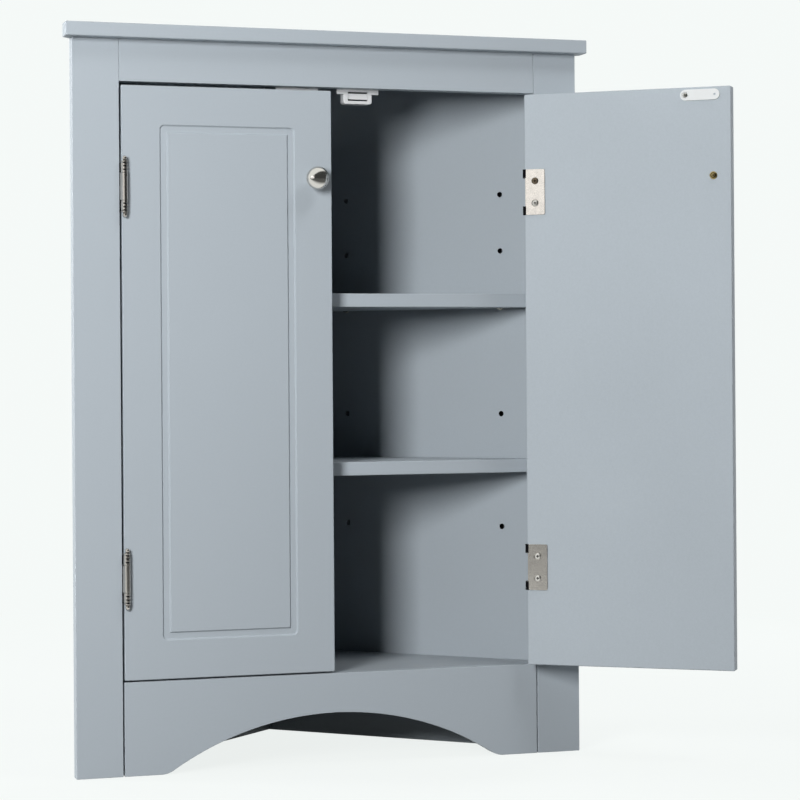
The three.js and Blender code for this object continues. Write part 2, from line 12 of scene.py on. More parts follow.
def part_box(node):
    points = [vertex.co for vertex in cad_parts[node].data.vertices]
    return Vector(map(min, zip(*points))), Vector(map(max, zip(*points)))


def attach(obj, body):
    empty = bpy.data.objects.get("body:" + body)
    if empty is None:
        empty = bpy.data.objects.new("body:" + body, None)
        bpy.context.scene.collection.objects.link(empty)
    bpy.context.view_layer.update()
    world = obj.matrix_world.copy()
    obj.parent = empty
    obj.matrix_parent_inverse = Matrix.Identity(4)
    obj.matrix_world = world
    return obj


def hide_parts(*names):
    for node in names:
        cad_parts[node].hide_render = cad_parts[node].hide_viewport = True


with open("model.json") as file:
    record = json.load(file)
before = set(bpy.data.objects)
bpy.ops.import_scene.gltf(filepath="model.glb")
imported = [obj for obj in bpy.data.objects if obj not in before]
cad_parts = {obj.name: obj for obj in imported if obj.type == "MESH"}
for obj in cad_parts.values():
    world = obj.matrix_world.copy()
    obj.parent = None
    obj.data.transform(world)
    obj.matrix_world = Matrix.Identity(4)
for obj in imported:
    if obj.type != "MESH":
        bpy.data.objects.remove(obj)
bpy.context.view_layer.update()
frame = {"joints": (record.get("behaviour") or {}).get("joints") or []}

SIDES = {"left": -1, "right": 1}
PLACES = ("upper", "lower")
ENDS = {"top": 1, "bottom": -1}
IN_PLACE = Matrix.Identity(4)

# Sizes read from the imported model
STILE_LOW, STILE_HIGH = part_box("left_stile")
FRONT = STILE_LOW.y
FRONT_HALF = -STILE_LOW.x
OPENING_HALF = -STILE_HIGH.x
BOARD = STILE_HIGH.y - STILE_LOW.y
OPENING_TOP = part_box("top_rail")[0].z
HINGE = {
    side: Vector(joint["pos_m"]) - FRONT * Vector((0, 1, 0))
    for side in SIDES
    for joint in frame["joints"]
    if joint["name"] == f"{side}_door_hinge"
}
HINGE_INSET = HINGE["right"].x
HINGE_PROUD = -HINGE["right"].y
# How far each door stands open at rest
OPEN_ANGLE = {"left": 0.0, "right": math.radians(143)}

# Angles between faces: smaller ones shade as one surface, and larger ones are edges to round
EDGE_ANGLE = math.radians(35)
SHEET_EDGE_ANGLE = math.radians(50)
DOOR_EDGE_ANGLE = math.radians(30)
KNOB_EDGE_ANGLE = math.radians(60)
SQUARE_TO_AXIS = 0.99999

# The gap that a piece keeps from its seat, and the rounding of edges that hardly show
SEAT = 0.0003
TRIM_ROUND = SEAT / 2
TRIM_STEPS = 1

# Turned pieces: their facets, and how far a blunt end narrows
SMALL_FACETS = 28
KNOB_FACETS = 64
POINT_SHARE = 0.8

# Boards
SIDE_BOARD = 0.012
GLUE_GAP = 0.0003
BOARD_ROUND = 0.0008
FRAME_ROUND = 0.0005
TOP_JOINT = {"left": 0.0002, "right": 0.0004}
FOOT_JOINT = {"left": 0.0018, "right": 0.0013}
TOP_ROUND = 0.0012
ROUND_STEPS = 3

# Arch in the foot rail
ARCH_RISE = 0.057
ARCH_FOOT_RADIUS = 0.025
ARCH_LAND = 0.0413
ARCH_STEPS = 72
ARCH_FOOT_STEPS = 12

# Shelf pins, the holes for them and the notches over them
PIN_RADIUS = 0.0025
PIN_COLLAR_RADIUS = 0.0034
PIN_COLLAR = 0.001
PIN_LIP = PIN_COLLAR / 4
PIN_DEPTH = 0.008
PIN_REACH = 0.007
PIN_PITCH = 0.0645
PIN_INSET = {"front": 0.071, "rear": 0.110}
HOLE_STEPS = {"upper": (0, 1, 2), "lower": (-1, 0, 1)}
HOLE_RADIUS = 0.0031
NOTCH_MARGIN = 0.0012

# Doors: edges, groove and raised field
DOOR_EDGE = 0.0029
DOOR_WIDTH = 0.233
DOOR_EASE = 0.0004
DOOR_ROUND = 0.001
DOOR_ROUND_STEPS = 4
DOOR_CORNER = 0.0012
SHARP_CORNER = 0.0002
GROOVE_INSET = 0.0415
GROOVE_DEPTH = 0.0018
GROOVE_FLOOR = 0.0064
GROOVE_SLOPE = 0.0012
GROOVE_CORNER = 0.005
CREASE = 0.00025
CORNER_STEPS = 6

# Hinges
BARREL_RADIUS = 0.00325
BORE_RADIUS = 0.00205
LEAF = 0.0012
LEAF_CLEARANCE = 0.0004
LEAF_HEIGHT = 0.0508
LEAF_REACH = 0.024
LEAF_CORNER = 0.0018
LEAF_ROUND = 0.00022
MIDDLE_KNUCKLE = 0.029
END_KNUCKLE = 0.0125
KNUCKLE_GAP = 0.0003
LEAF_SETBACK = 0.0015
SHEET_STEPS = 2
RING_PLACES = (0.018, 0.0218, 0.0252)
RING_GAP = 0.0014
TAB_HEIGHT = 0.0098
TAB_MARGIN = SEAT / 3
TIP_RADIUS = 0.0026
TIP_NECK = 0.0024
TIP_SWEEP = range(-45, 86, 10)

# The line that a leaf follows round the door's edge and the pin, in degrees, points and shares
BEND_STEPS = 6
CURL_SWEEP = (196, 500)
CURL_STEPS = 40
CURL_POINTS = CURL_STEPS + 1
CURL_LEAD = 1
ROOT_TAIL = 5
ROOT_SHARES = (1.3, 0.8)
ROOT_TURN_SHARES = (0.9, 0.2)
SHARPEST_MITRE = 0.5

# Screws
SCREW_HEAD = 0.0034
SCREW_SHANK = 0.0017
SINK_MARGIN = 0.0006
SCREW_DOME = 0.0006
SCREW_LENGTH = 0.0105
SCREW_INSET = 0.0128
SCREW_SPACING = 0.0245
RECESS_WIDTH = 0.0011
RECESS_DEPTH = 0.0012
RECESS_SHARE = 0.62
RECESS_TAPER_SHARE = 0.45
SCREW_POINT_SHARE = 0.25
DOME_STEPS = 5
BRONZED_SCREW = "right_upper_door_screw_top"

# Machine screws of the knobs and catches, and shares of their heads
PAN_EDGE_SHARE = 0.35
PAN_RIM_SHARE = 0.97
PAN_TOP_SHARE = 0.995
PAN_RECESS_SHARE = 0.85
KNOB_SCREW_HEAD = 0.00425
KNOB_SCREW_HEIGHT = 0.0022
KNOB_SCREW_SHANK = 0.002
CATCH_SCREW_HEAD = 0.0026
CATCH_SCREW_HEIGHT = 0.0015
CATCH_SCREW_SHANK = 0.0013
CATCH_SCREW_LENGTH = 0.008

# Knob, its outline as shares of its radius and of how far it stands out
KNOB_EDGE = 0.0195
KNOB_DROP = 0.097
KNOB_RADIUS = 0.0126
KNOB_REACH = 0.022
KNOB_OUTLINE_SHARES = (
    (0.6, 0.0), (0.6, 0.035), (0.565, 0.07), (0.47, 0.13), (0.405, 0.23), (0.395, 0.34),
    (0.43, 0.4), (0.56, 0.43), (0.82, 0.455), (0.93, 0.47), (0.955, 0.485), (0.955, 0.505),
    (0.93, 0.52), (0.85, 0.53), (0.835, 0.555), (0.85, 0.59), (0.95, 0.605), (0.985, 0.62),
    (1.0, 0.645), (0.995, 0.675), (0.975, 0.712), (0.935, 0.754), (0.88, 0.795),
    (0.815, 0.831), (0.7, 0.88), (0.6, 0.914), (0.5, 0.942), (0.38, 0.967), (0.26, 0.985),
    (0.08, 0.999),
)

# Magnetic catches and strike plates
CATCH_CENTRE = 0.0348
CATCH_FRONT = 0.0171
CATCH_BODY = Vector((0.0325, 0.013, 0.0156))
CATCH_EAR = Vector((0.048, 0.0024, 0.005))
CATCH_HEIGHT = 0.017
CATCH_CORNER = 0.003
CATCH_CORNER_STEPS = 8
CATCH_ROUND = 0.0005
POLE_WIDTH = 0.022
POLE = 0.0014
POLE_SPACING = 0.0079
POLE_DROP = 0.0112
MAGNET_SETBACK = 0.0005
MAGNET_DEPTH = 0.010
STRIKE = Vector((0.0435, 0.0012, 0.012))
STRIKE_ROUND = 0.0003
STRIKE_CORNER_STEPS = 12
STRIKE_DROP = 0.003
STRIKE_HOLES = 0.0325
STRIKE_NIB = 0.0013
STRIKE_SCREW_HEAD = 0.0027

# Camera, as it stood for the photograph
CAMERA_PLACE = Vector((-0.75924, -2.85731, 0.42700))
CAMERA_TURN = math.radians(18.025)
CAMERA_PITCH = 0.0007
CAMERA_ROLL = -0.0071
CAMERA_SENSOR = 36.0
CAMERA_LENS = 110.13
CAMERA_SHIFT = (0.00075, -0.0355)
CAMERA_REACH = 60.0

# Lamps: name, place, width and height, power, and whether gloss and matt surfaces see them
LAMP_TARGET = Vector((0.0, FRONT, 0.45))
LAMPS = (
    ("key light", (-1.32, -1.925, 0.99), (0.56, 0.8), 49.0, False, True),
    ("key sheen", (-1.45, -1.86, 0.87), (0.9, 0.75), 2.2, True, False),
    ("high right fill", (0.86, -1.21, 2.25), (0.6, 0.6), 13.5, False, True),
    ("right side light", (2.1, -0.35, 0.9), (0.5, 1.0), 13.0, False, True),
    ("left side light", (-2.0, 0.5, 1.2), (0.5, 0.9), 28.0, True, True),
    ("right rear light", (1.75, 1.5, 0.74), (1.0, 0.7), 40.0, False, True),
    ("left rear light", (-1.1, 2.0, 0.74), (1.0, 0.7), 22.0, False, True),
)

# Floor and backdrop: colours, and spans of place or direction with the light that they give
WHITE = (0.915, 0.95, 0.935)
FLOOR_SIZE = 30.0
FLOOR_LIT = (0.9, 0.9, 0.9)
FLOOR_BOUNCE = (0.16, 0.16, 0.16)
SHADOW_REACH = (0.5, 1.5)
SHADOW_SHARES = (0.1, 0.0)
GLOSS_FLOOR_WAY = (-0.4, 1.0, 0.0)
GLOSS_FLOOR_SPAN = (-1.5, -0.8)
GLOSS_FLOOR_LIGHT = (0.12, 0.95)
GLOSS_SKY_WAY = (-0.456, 0.55, 0.70)
GLOSS_SKY_SPAN = (0.03, 0.12)
GLOSS_SKY_LIGHT = (0.06, 1.0)
BACKDROP_SPAN = (-0.35, 0.05)
AMBIENT = 0.05

# Colours, as linear red, green and blue
PAINT = (0.405, 0.452, 0.492)
# A darker copy of the paint for the cupboard's inside: painted shade
PAINT_SHADED_INSIDE = (0.352, 0.393, 0.428)
# A lighter copy of the paint for the doors' backs: painted sheen
PAINT_BACK_LIT = (0.417, 0.466, 0.507)
# Lighter colour for the paint's edges, in patches: painted highlight
PAINT_EDGE_HIGHLIGHT = (0.52, 0.565, 0.605)
PAINT_DUST = (0.50, 0.51, 0.51)
NICKEL = (0.60, 0.56, 0.52)
BRIGHT_NICKEL = (0.74, 0.71, 0.67)
ZINC = (0.50, 0.49, 0.46)
BRONZE = (0.22, 0.17, 0.12)
BRASS = (0.50, 0.38, 0.16)
WHITE_PLASTIC = (0.74, 0.75, 0.76)
WHITE_STEEL = (0.73, 0.75, 0.75)
DARK_STEEL = (0.06, 0.065, 0.075)
# Near black, for painted shade in recesses, holes, hinge tabs and pin shafts
PAINTED_SHADE = (0.006, 0.006, 0.007)

# Finishes
PAINT_IOR = 1.45
PAINT_SHINE = 0.35
PAINT_ROUGHNESS = (0.42, 0.56)
# How far the painted highlight lightens the paint's edges
PAINT_EDGE_HIGHLIGHT_SHARE = 0.35
METAL_WEAR = 0.4
METAL_WORN_LIGHTER = 1.15
COAT_IOR = 1.48

# Shared effects: spans of bend, slope or noise, and the shares that they turn into
GRAIN_BROADER = 14.0
EDGE_SAMPLES = 4
EDGE_BEND = (0.01, 0.16)
EDGE_PATCHES = (0.35, 0.65)
EDGE_PATCH_SHARES = (0.25, 1.0)
DUST_SLOPE = (0.7, 1.0)
DUST_PATCHES = (0.4, 0.7)
DUST_PATCH_SHARES = (0.2, 1.0)


# Shaping

def as_piece(name, bm, smooth_below=EDGE_ANGLE):
    """Turn a finished bmesh into an object, smooth where its faces meet at small angles."""
    bmesh.ops.recalc_face_normals(bm, faces=bm.faces)
    mesh = bpy.data.meshes.new(name)
    bm.to_mesh(mesh)
    bm.free()
    mesh.shade_smooth()
    mesh.set_sharp_from_angle(angle=smooth_below)
    piece = bpy.data.objects.new(name, mesh)
    bpy.context.scene.collection.objects.link(piece)
    return piece


def skin(loops):
    """A closed form through a row of loops that have the same number of points."""
    bm = bmesh.new()
    rings = [[bm.verts.new(point) for point in loop] for loop in loops]
    for ring, following in zip(rings, rings[1:]):
        count = len(ring)
        for index in range(count):
            after = (index + 1) % count
            bm.faces.new((ring[index], ring[after], following[after], following[index]))
    bm.faces.new(rings[0])
    bm.faces.new(rings[-1])
    return bm


def slab(points, depth, rounding, steps, above=EDGE_ANGLE):
    """A flat outline, run along a depth, with every edge above an angle rounded."""
    start = [Vector(point) for point in points]
    bm = skin([start, [point + depth for point in start]])
    bmesh.ops.recalc_face_normals(bm, faces=bm.faces)
    sharp = [edge for edge in bm.edges if edge.is_manifold and edge.calc_face_angle() > above]
    bmesh.ops.bevel(
        bm, geom=sharp, offset=rounding, segments=steps, profile=0.5, affect="EDGES",
        clamp_overlap=True,
    )
    return bm


def upright(points, low, high, rounding, steps=ROUND_STEPS, above=EDGE_ANGLE):
    """An outline in plan, raised between two heights."""
    base = [(x, y, low) for x, y in points]
    return slab(base, Vector((0, 0, high - low)), rounding, steps, above)


def facing(points, front, thickness, rounding, steps=ROUND_STEPS):
    """An outline seen from the front, run back from a depth."""
    return slab([(x, front, z) for x, z in points], Vector((0, thickness, 0)), rounding, steps)


def box_outline(low, high):
    return [(low[0], low[1]), (high[0], low[1]), (high[0], high[1]), (low[0], high[1])]


def arc(centre, radius, start, end, steps):
    """Points on an arc, in degrees from the first axis towards the second."""
    turns = [math.radians(start + (end - start) * step / steps) for step in range(steps + 1)]
    return [(centre[0] + radius * math.cos(t), centre[1] + radius * math.sin(t)) for t in turns]


def rounded_box_outline(low, high, radius, steps=CORNER_STEPS):
    """A rectangle with rounded corners, from its lower left corner round."""
    corners = (
        ((low[0] + radius, low[1] + radius), 180),
        ((high[0] - radius, low[1] + radius), 270),
        ((high[0] - radius, high[1] - radius), 0),
        ((low[0] + radius, high[1] - radius), 90),
    )
    outline = []
    for centre, start in corners:
        outline += arc(centre, radius, start, start + 90, steps)
    return outline


def turned(profile, facets=SMALL_FACETS):
    """A round piece along Y, from a list of radius and place that starts and ends off the axis."""
    loops = []
    for radius, place in profile:
        circle = arc((0, 0), radius, 0, 360 * (facets - 1) / facets, facets - 1)
        loops.append([Vector((x, place, z)) for x, z in circle])
    return skin(loops)


def merged(*parts):
    """Several closed forms as one."""
    whole = bmesh.new()
    for part in parts:
        mesh = bpy.data.meshes.new("form")
        part.to_mesh(mesh)
        part.free()
        whole.from_mesh(mesh)
        bpy.data.meshes.remove(mesh)
    return whole


def moved(bm, matrix):
    bm.transform(matrix)
    return bm


def square_faces_flat(mesh):
    """Leave the faces that lie square to the piece's own axes flat, so that they mirror evenly."""
    for face in mesh.polygons:
        if max(abs(part) for part in face.normal) > SQUARE_TO_AXIS:
            face.use_smooth = False


def carved(piece, cutters):
    """Cut closed forms out of a piece."""
    tool = as_piece(piece.name + "_cutter", merged(*cutters))
    cut = piece.modifiers.new("cut", "BOOLEAN")
    cut.operation = "DIFFERENCE"
    cut.solver = "EXACT"
    cut.use_self = True
    cut.object = tool
    depsgraph = bpy.context.evaluated_depsgraph_get()
    mesh = bpy.data.meshes.new_from_object(piece.evaluated_get(depsgraph))
    piece.modifiers.remove(cut)
    old = piece.data
    piece.data = mesh
    bpy.data.meshes.remove(old)
    bpy.data.objects.remove(tool)
    mesh.shade_smooth()
    mesh.set_sharp_from_angle(angle=EDGE_ANGLE)
    square_faces_flat(mesh)
    return piece


def fitted(piece, body, slot, finish, *nodes, at=IN_PLACE):
    """Give a piece its finish and its place, and let it stand for solids of the model."""
    piece.data.materials.clear()
    piece.data.materials.append(finish)
    piece.data.transform(at)
    even = piece.modifiers.new("even shading", "WEIGHTED_NORMAL")
    even.keep_sharp = True
    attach(piece, body)
    if nodes:
        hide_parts(*nodes)
    return piece


# Shading

# Sockets of the Mix node, for colours and for numbers, and the kinds of a group's sockets
MIX_A, MIX_B, MIX_RESULT = 6, 7, 2
NUMBER_A, NUMBER_B = 2, 3
COLOUR, NUMBER = "NodeSocketColor", "NodeSocketFloat"


def add(tree, kind, inputs=None, **settings):
    """Add a node, with its settings and with values or links for its inputs."""
    made = tree.nodes.new(kind)
    for key, value in settings.items():
        setattr(made, key, value)
    for key, value in (inputs or {}).items():
        if isinstance(value, bpy.types.NodeSocket):
            tree.links.new(value, made.inputs[key])
        else:
            made.inputs[key].default_value = value
    return made


def mixed(tree, factor, first, second, blend="MIX"):
    """A mix of two colours."""
    made = add(tree, "ShaderNodeMix", {0: factor, MIX_A: first, MIX_B: second},
               data_type="RGBA", blend_type=blend)
    return made.outputs[MIX_RESULT]


def mixed_number(tree, factor, first, second):
    """A mix of two numbers."""
    return add(tree, "ShaderNodeMix", {0: factor, NUMBER_A: first, NUMBER_B: second}).outputs[0]


def mixed_shader(tree, factor, first, second):
    """A mix of two shader nodes."""
    return add(tree, "ShaderNodeMixShader", {
        0: factor, 1: first.outputs[0], 2: second.outputs[0],
    })


def calculated(tree, operation, first, second, clamp=False):
    made = add(tree, "ShaderNodeMath", {0: first, 1: second}, operation=operation, use_clamp=clamp)
    return made.outputs[0]


def dot(tree, first, second):
    """How far two directions agree, or how far a place lies along a direction."""
    made = add(tree, "ShaderNodeVectorMath", {0: first, 1: second}, operation="DOT_PRODUCT")
    return made.outputs["Value"]


def ranged(tree, value, span, to=(0.0, 1.0)):
    """A value carried over from one span to another."""
    made = add(tree, "ShaderNodeMapRange", {
        "Value": value, "From Min": span[0], "From Max": span[1], "To Min": to[0], "To Max": to[1],
    })
    return made.outputs["Result"]


def noise(tree, scale, detail, roughness=0.5):
    place = add(tree, "ShaderNodeTexCoord").outputs["Object"]
    made = add(tree, "ShaderNodeTexNoise", {
        "Vector": place, "Scale": scale, "Detail": detail, "Roughness": roughness,
    })
    return made.outputs["Fac"]


def with_alpha(colour):
    return (*colour, 1.0)


def new_group(name, inputs, outputs):
    """A shader node group with named inputs and outputs."""
    tree = bpy.data.node_groups.new(name, "ShaderNodeTree")
    for label, kind, value in inputs:
        socket = tree.interface.new_socket(name=label, in_out="INPUT", socket_type=kind)
        socket.default_value = value
    for label, kind in outputs:
        tree.interface.new_socket(name=label, in_out="OUTPUT", socket_type=kind)
    return tree, tree.nodes.new("NodeGroupInput").outputs, tree.nodes.new("NodeGroupOutput").inputs


def uneven_colour_group():
    """Broad and fine changes in how light a finish is."""
    tree, given, result = new_group("uneven colour", [
        ("Colour", COLOUR, (0.5, 0.5, 0.5, 1.0)),
        ("Amount", NUMBER, 0.05),
        ("Broad scale", NUMBER, 5.0),
        ("Fine scale", NUMBER, 300.0),
    ], [("Colour", COLOUR)])
    broad = noise(tree, given["Broad scale"], detail=3.0)
    fine = noise(tree, given["Fine scale"], detail=4.0, roughness=0.6)
    swing = calculated(tree, "SUBTRACT", calculated(tree, "ADD", broad, fine), 1.0)
    factor = calculated(tree, "MULTIPLY", swing, given["Amount"])
    level = calculated(tree, "ADD", factor, 1.0)
    grey = add(tree, "ShaderNodeCombineColor", {0: level, 1: level, 2: level}).outputs[0]
    tree.links.new(mixed(tree, 1.0, given["Colour"], grey, "MULTIPLY"), result["Colour"])
    return tree


def surface_grain_group():
    """A fine uneven surface, as a height and as a roughness."""
    tree, given, result = new_group("surface grain", [
        ("Scale", NUMBER, 600.0),
        ("Smoothest", NUMBER, 0.4),
        ("Roughest", NUMBER, 0.5),
    ], [("Height", NUMBER), ("Roughness", NUMBER)])
    fine = noise(tree, given["Scale"], detail=3.0, roughness=0.55)
    broad_scale = calculated(tree, "DIVIDE", given["Scale"], GRAIN_BROADER)
    broad = noise(tree, broad_scale, detail=4.0, roughness=0.6)
    span = calculated(tree, "SUBTRACT", given["Roughest"], given["Smoothest"])
    above = calculated(tree, "MULTIPLY", broad, span)
    tree.links.new(fine, result["Height"])
    tree.links.new(calculated(tree, "ADD", above, given["Smoothest"]), result["Roughness"])
    return tree


def edge_wear_and_highlight_group():
    """Where a surface turns sharply, broken up in patches: rubbed wear on metal, and painted
    highlight on painted edges.
    """
    tree, given, result = new_group("edge wear and highlight", [
        ("Width", NUMBER, 0.0012),
        ("Break up", NUMBER, 60.0),
    ], [("Mask", NUMBER)])
    rounded = add(tree, "ShaderNodeBevel", {"Radius": given["Width"]}, samples=EDGE_SAMPLES)
    plain = add(tree, "ShaderNodeNewGeometry")
    likeness = dot(tree, rounded.outputs["Normal"], plain.outputs["Normal"])
    edge = ranged(tree, calculated(tree, "SUBTRACT", 1.0, likeness), EDGE_BEND)
    crumbs = noise(tree, given["Break up"], detail=5.0, roughness=0.65)
    patches = ranged(tree, crumbs, EDGE_PATCHES, EDGE_PATCH_SHARES)
    tree.links.new(calculated(tree, "MULTIPLY", edge, patches, clamp=True), result["Mask"])
    return tree


def settled_dust_group():
    """Faint dust on what faces up."""
    tree, given, result = new_group("settled dust", [
        ("Amount", NUMBER, 0.2),
        ("Scale", NUMBER, 40.0),
    ], [("Mask", NUMBER)])
    normal = add(tree, "ShaderNodeNewGeometry").outputs["Normal"]
    height = add(tree, "ShaderNodeSeparateXYZ", {0: normal}).outputs["Z"]
    facing_up = ranged(tree, height, DUST_SLOPE)
    crumbs = noise(tree, given["Scale"], detail=6.0, roughness=0.7)
    patches = ranged(tree, crumbs, DUST_PATCHES, DUST_PATCH_SHARES)
    both = calculated(tree, "MULTIPLY", facing_up, patches)
    tree.links.new(calculated(tree, "MULTIPLY", both, given["Amount"], clamp=True), result["Mask"])
    return tree


GROUPS = {
    "uneven colour": uneven_colour_group(),
    "surface grain": surface_grain_group(),
    "edge wear and highlight": edge_wear_and_highlight_group(),
    "settled dust": settled_dust_group(),
}


def use(tree, group, inputs):
    """Place one of the shared effects in a material."""
    placed = tree.nodes.new("ShaderNodeGroup")
    placed.node_tree = GROUPS[group]
    for key, value in inputs.items():
        placed.inputs[key].default_value = value
    return placed.outputs


def new_finish(name, sockets):
    """A material whose shader has these plain values, with its tree and shader."""
    finish = bpy.data.materials.new(name)
    finish.use_nodes = True
    tree = finish.node_tree
    shader = tree.nodes["Principled BSDF"]
    for key, value in sockets.items():
        shader.inputs[key].default_value = value
    return finish, tree, shader


def tinted(tree, colour, amount, broad, fine):
    """A colour that is a little uneven."""
    return use(tree, "uneven colour", {
        "Colour": with_alpha(colour), "Amount": amount, "Broad scale": broad, "Fine scale": fine,
    })["Colour"]


def surfaced(tree, shader, colour, scale, roughness, dent):
    """Give a shader its colour, and a grain that changes its roughness and its height."""
    smoothest, roughest = roughness
    grain = use(tree, "surface grain", {
        "Scale": scale, "Smoothest": smoothest, "Roughest": roughest,
    })
    raised = add(tree, "ShaderNodeBump", {"Height": grain["Height"], "Distance": dent})
    tree.links.new(colour, shader.inputs["Base Color"])
    tree.links.new(grain["Roughness"], shader.inputs["Roughness"])
    tree.links.new(raised.outputs["Normal"], shader.inputs["Normal"])


def paint_finish(name, colour, uneven, scale, dent, shine=PAINT_SHINE):
    """Satin spray paint on smooth fibreboard."""
    finish, tree, shader = new_finish(name, {"IOR": PAINT_IOR, "Specular IOR Level": shine})
    tint = tinted(tree, colour, uneven, broad=4.0, fine=420.0)
    # Edges lightened in patches: painted highlight where light catches the rounded edges
    edge = use(tree, "edge wear and highlight", {"Width": 0.0012, "Break up": 45.0})
    dust = use(tree, "settled dust", {"Amount": 0.25, "Scale": 55.0})
    edge_share = calculated(tree, "MULTIPLY", edge["Mask"], PAINT_EDGE_HIGHLIGHT_SHARE)
    edged = mixed(tree, edge_share, tint, with_alpha(PAINT_EDGE_HIGHLIGHT))
    dusted = mixed(tree, dust["Mask"], edged, with_alpha(PAINT_DUST))
    surfaced(tree, shader, dusted, scale, PAINT_ROUGHNESS, dent)
    return finish


def metal_finish(name, colour, roughness, uneven=0.12, scale=900.0, dent=0.00001):
    """Plated or bare metal, with faint stains and fine scratches."""
    finish, tree, shader = new_finish(name, {"Metallic": 1.0})
    tint = tinted(tree, colour, uneven, broad=120.0, fine=900.0)
    edge = use(tree, "edge wear and highlight", {"Width": 0.0004, "Break up": 300.0})
    lighter = [min(1.0, part * METAL_WORN_LIGHTER) for part in colour]
    edge_share = calculated(tree, "MULTIPLY", edge["Mask"], METAL_WEAR)
    surfaced(tree, shader, mixed(tree, edge_share, tint, with_alpha(lighter)), scale, roughness, dent)
    return finish


def coated_finish(name, colour, roughness, dent, shine=0.5):
    """Moulded plastic, or a coat of gloss paint on steel."""
    finish, tree, shader = new_finish(name, {"IOR": COAT_IOR, "Specular IOR Level": shine})
    tint = tinted(tree, colour, amount=0.05, broad=60.0, fine=700.0)
    dust = use(tree, "settled dust", {"Amount": 0.2, "Scale": 200.0})
    dusted = mixed(tree, dust["Mask"], tint, with_alpha(PAINT_DUST))
    surfaced(tree, shader, dusted, scale=1200.0, roughness=roughness, dent=dent)
    return finish


FINISHES = {
    "paint": paint_finish("satin paint", PAINT, uneven=0.05, scale=650.0, dent=0.00003),
    # Inner boards: darker colour as painted shade
    "inside paint with painted shade": paint_finish(
        "paint darkened as painted shade inside", PAINT_SHADED_INSIDE, uneven=0.07, scale=700.0, dent=0.00003),
    # Doors' backs: lighter colour and stronger colour speckle as painted sheen
    "door back paint with painted sheen": paint_finish(
        "paint on the doors' backs", PAINT_BACK_LIT, uneven=0.14, scale=900.0, dent=0.0001, shine=1.0),
    "nickel": metal_finish("satin nickel", NICKEL, (0.12, 0.26), uneven=0.25, dent=0.00004),
    "screw nickel": metal_finish("screw nickel", BRIGHT_NICKEL, (0.26, 0.36), uneven=0.1),
    "bright nickel": metal_finish(
        "bright nickel", BRIGHT_NICKEL, (0.10, 0.17), uneven=0.06, scale=500.0, dent=0.000004),
    "zinc": metal_finish("zinc plate", ZINC, (0.2, 0.34)),
    "bronze": metal_finish("bronzed steel", BRONZE, (0.30, 0.45)),
    "brass": metal_finish("yellow plate", BRASS, (0.25, 0.40)),
    "white plastic": coated_finish(
        "moulded white plastic", WHITE_PLASTIC, (0.35, 0.5), dent=0.00001),
    "white steel": coated_finish("white coat on steel", WHITE_STEEL, (0.42, 0.52), dent=0.000006),
    "painted shade": coated_finish(
        "painted shade", PAINTED_SHADE, (0.7, 0.9), dent=0.00001, shine=0.05),
    "dark steel": metal_finish("dark steel", DARK_STEEL, (0.35, 0.55)),
}


def paint_shade(piece, chosen, *spots):
    """Painted shade: give a near-black finish to the faces that a rule picks by their places, seen
    from each spot.
    """
    piece.data.materials.append(FINISHES["painted shade"])
    for spot in spots:
        back = spot.inverted()
        for face in piece.data.polygons:
            if chosen(back @ face.center):
                face.material_index = 1


# Boards of the carcass

WALL_SUM = FRONT_HALF + BOARD
INNER_SUM = WALL_SUM - SIDE_BOARD * math.sqrt(2)
WALL_LENGTH = (INNER_SUM - BOARD) * math.sqrt(2)
WALL_TURN = math.radians(135)
PIN_HEIGHT = {
    place: sum(corner.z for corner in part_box(f"{place}_shelf_pin_left_front")) / 2
    for place in PLACES
}


def from_front(x, depth):
    """A point in plan, by its distance behind the front of the frame."""
    return (x, FRONT + depth)


def board(name, bm, node, finish="paint"):
    return fitted(as_piece(name, bm), "carcass", "painted_board", FINISHES[finish], node)


def top_panel():
    low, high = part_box("top_panel")
    side_end = FRONT + WALL_SUM - high.x
    outline = [
        (low.x, low.y),
        (high.x, low.y),
        (high.x, side_end),
        (0.0, high.y),
        (low.x, side_end),
    ]
    board("top_board", upright(outline, low.z, high.z, TOP_ROUND), "top_panel")


def stiles_and_top_rail():
    for node in ("left_stile", "right_stile", "top_rail"):
        low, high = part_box(node)
        start, end = low.x, high.x
        if node == "top_rail":
            start += TOP_JOINT["left"]
            end -= TOP_JOINT["right"]
        outline = box_outline((start, low.z), (end, high.z))
        board(node + "_board", facing(outline, low.y, high.y - low.y, FRAME_ROUND), node)


def arch_outline():
    """The foot rail from the front: one arc, turned into the floor line by a rounded foot."""
    foot = OPENING_HALF - ARCH_LAND
    reach = (foot ** 2 + ARCH_RISE ** 2) / (2 * ARCH_RISE)
    radius = reach - ARCH_FOOT_RADIUS
    drop = radius - ARCH_RISE
    turn = math.degrees(math.atan2(ARCH_FOOT_RADIUS + drop, foot))
    left_foot = arc((-foot, ARCH_FOOT_RADIUS), ARCH_FOOT_RADIUS, -90, -turn, ARCH_FOOT_STEPS)
    crown = arc((0, -drop), radius, 180 - turn, turn, ARCH_STEPS)
    right_foot = [(-x, z) for x, z in reversed(left_foot)]
    return left_foot + crown[1:-1] + right_foot


def foot_rail():
    low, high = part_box("foot_rail")
    start, end = low.x + FOOT_JOINT["left"], high.x - FOOT_JOINT["right"]
    outline = [(start, low.z), *arch_outline(), (end, low.z), (end, high.z), (start, high.z)]
    bm = facing(outline, low.y, high.y - low.y, FRAME_ROUND)
    board("foot_rail_board", bm, "foot_rail")


def wall_frame(side, along, height):
    """Turns a piece made along Y so that it points inward from a place on a side panel."""
    step = along / math.sqrt(2)
    x, y = from_front(side * (INNER_SUM - BOARD - step), BOARD + step)
    turn = Matrix.Rotation(side * WALL_TURN, 4, "Z")
    return Matrix.Translation((x, y, height)) @ turn


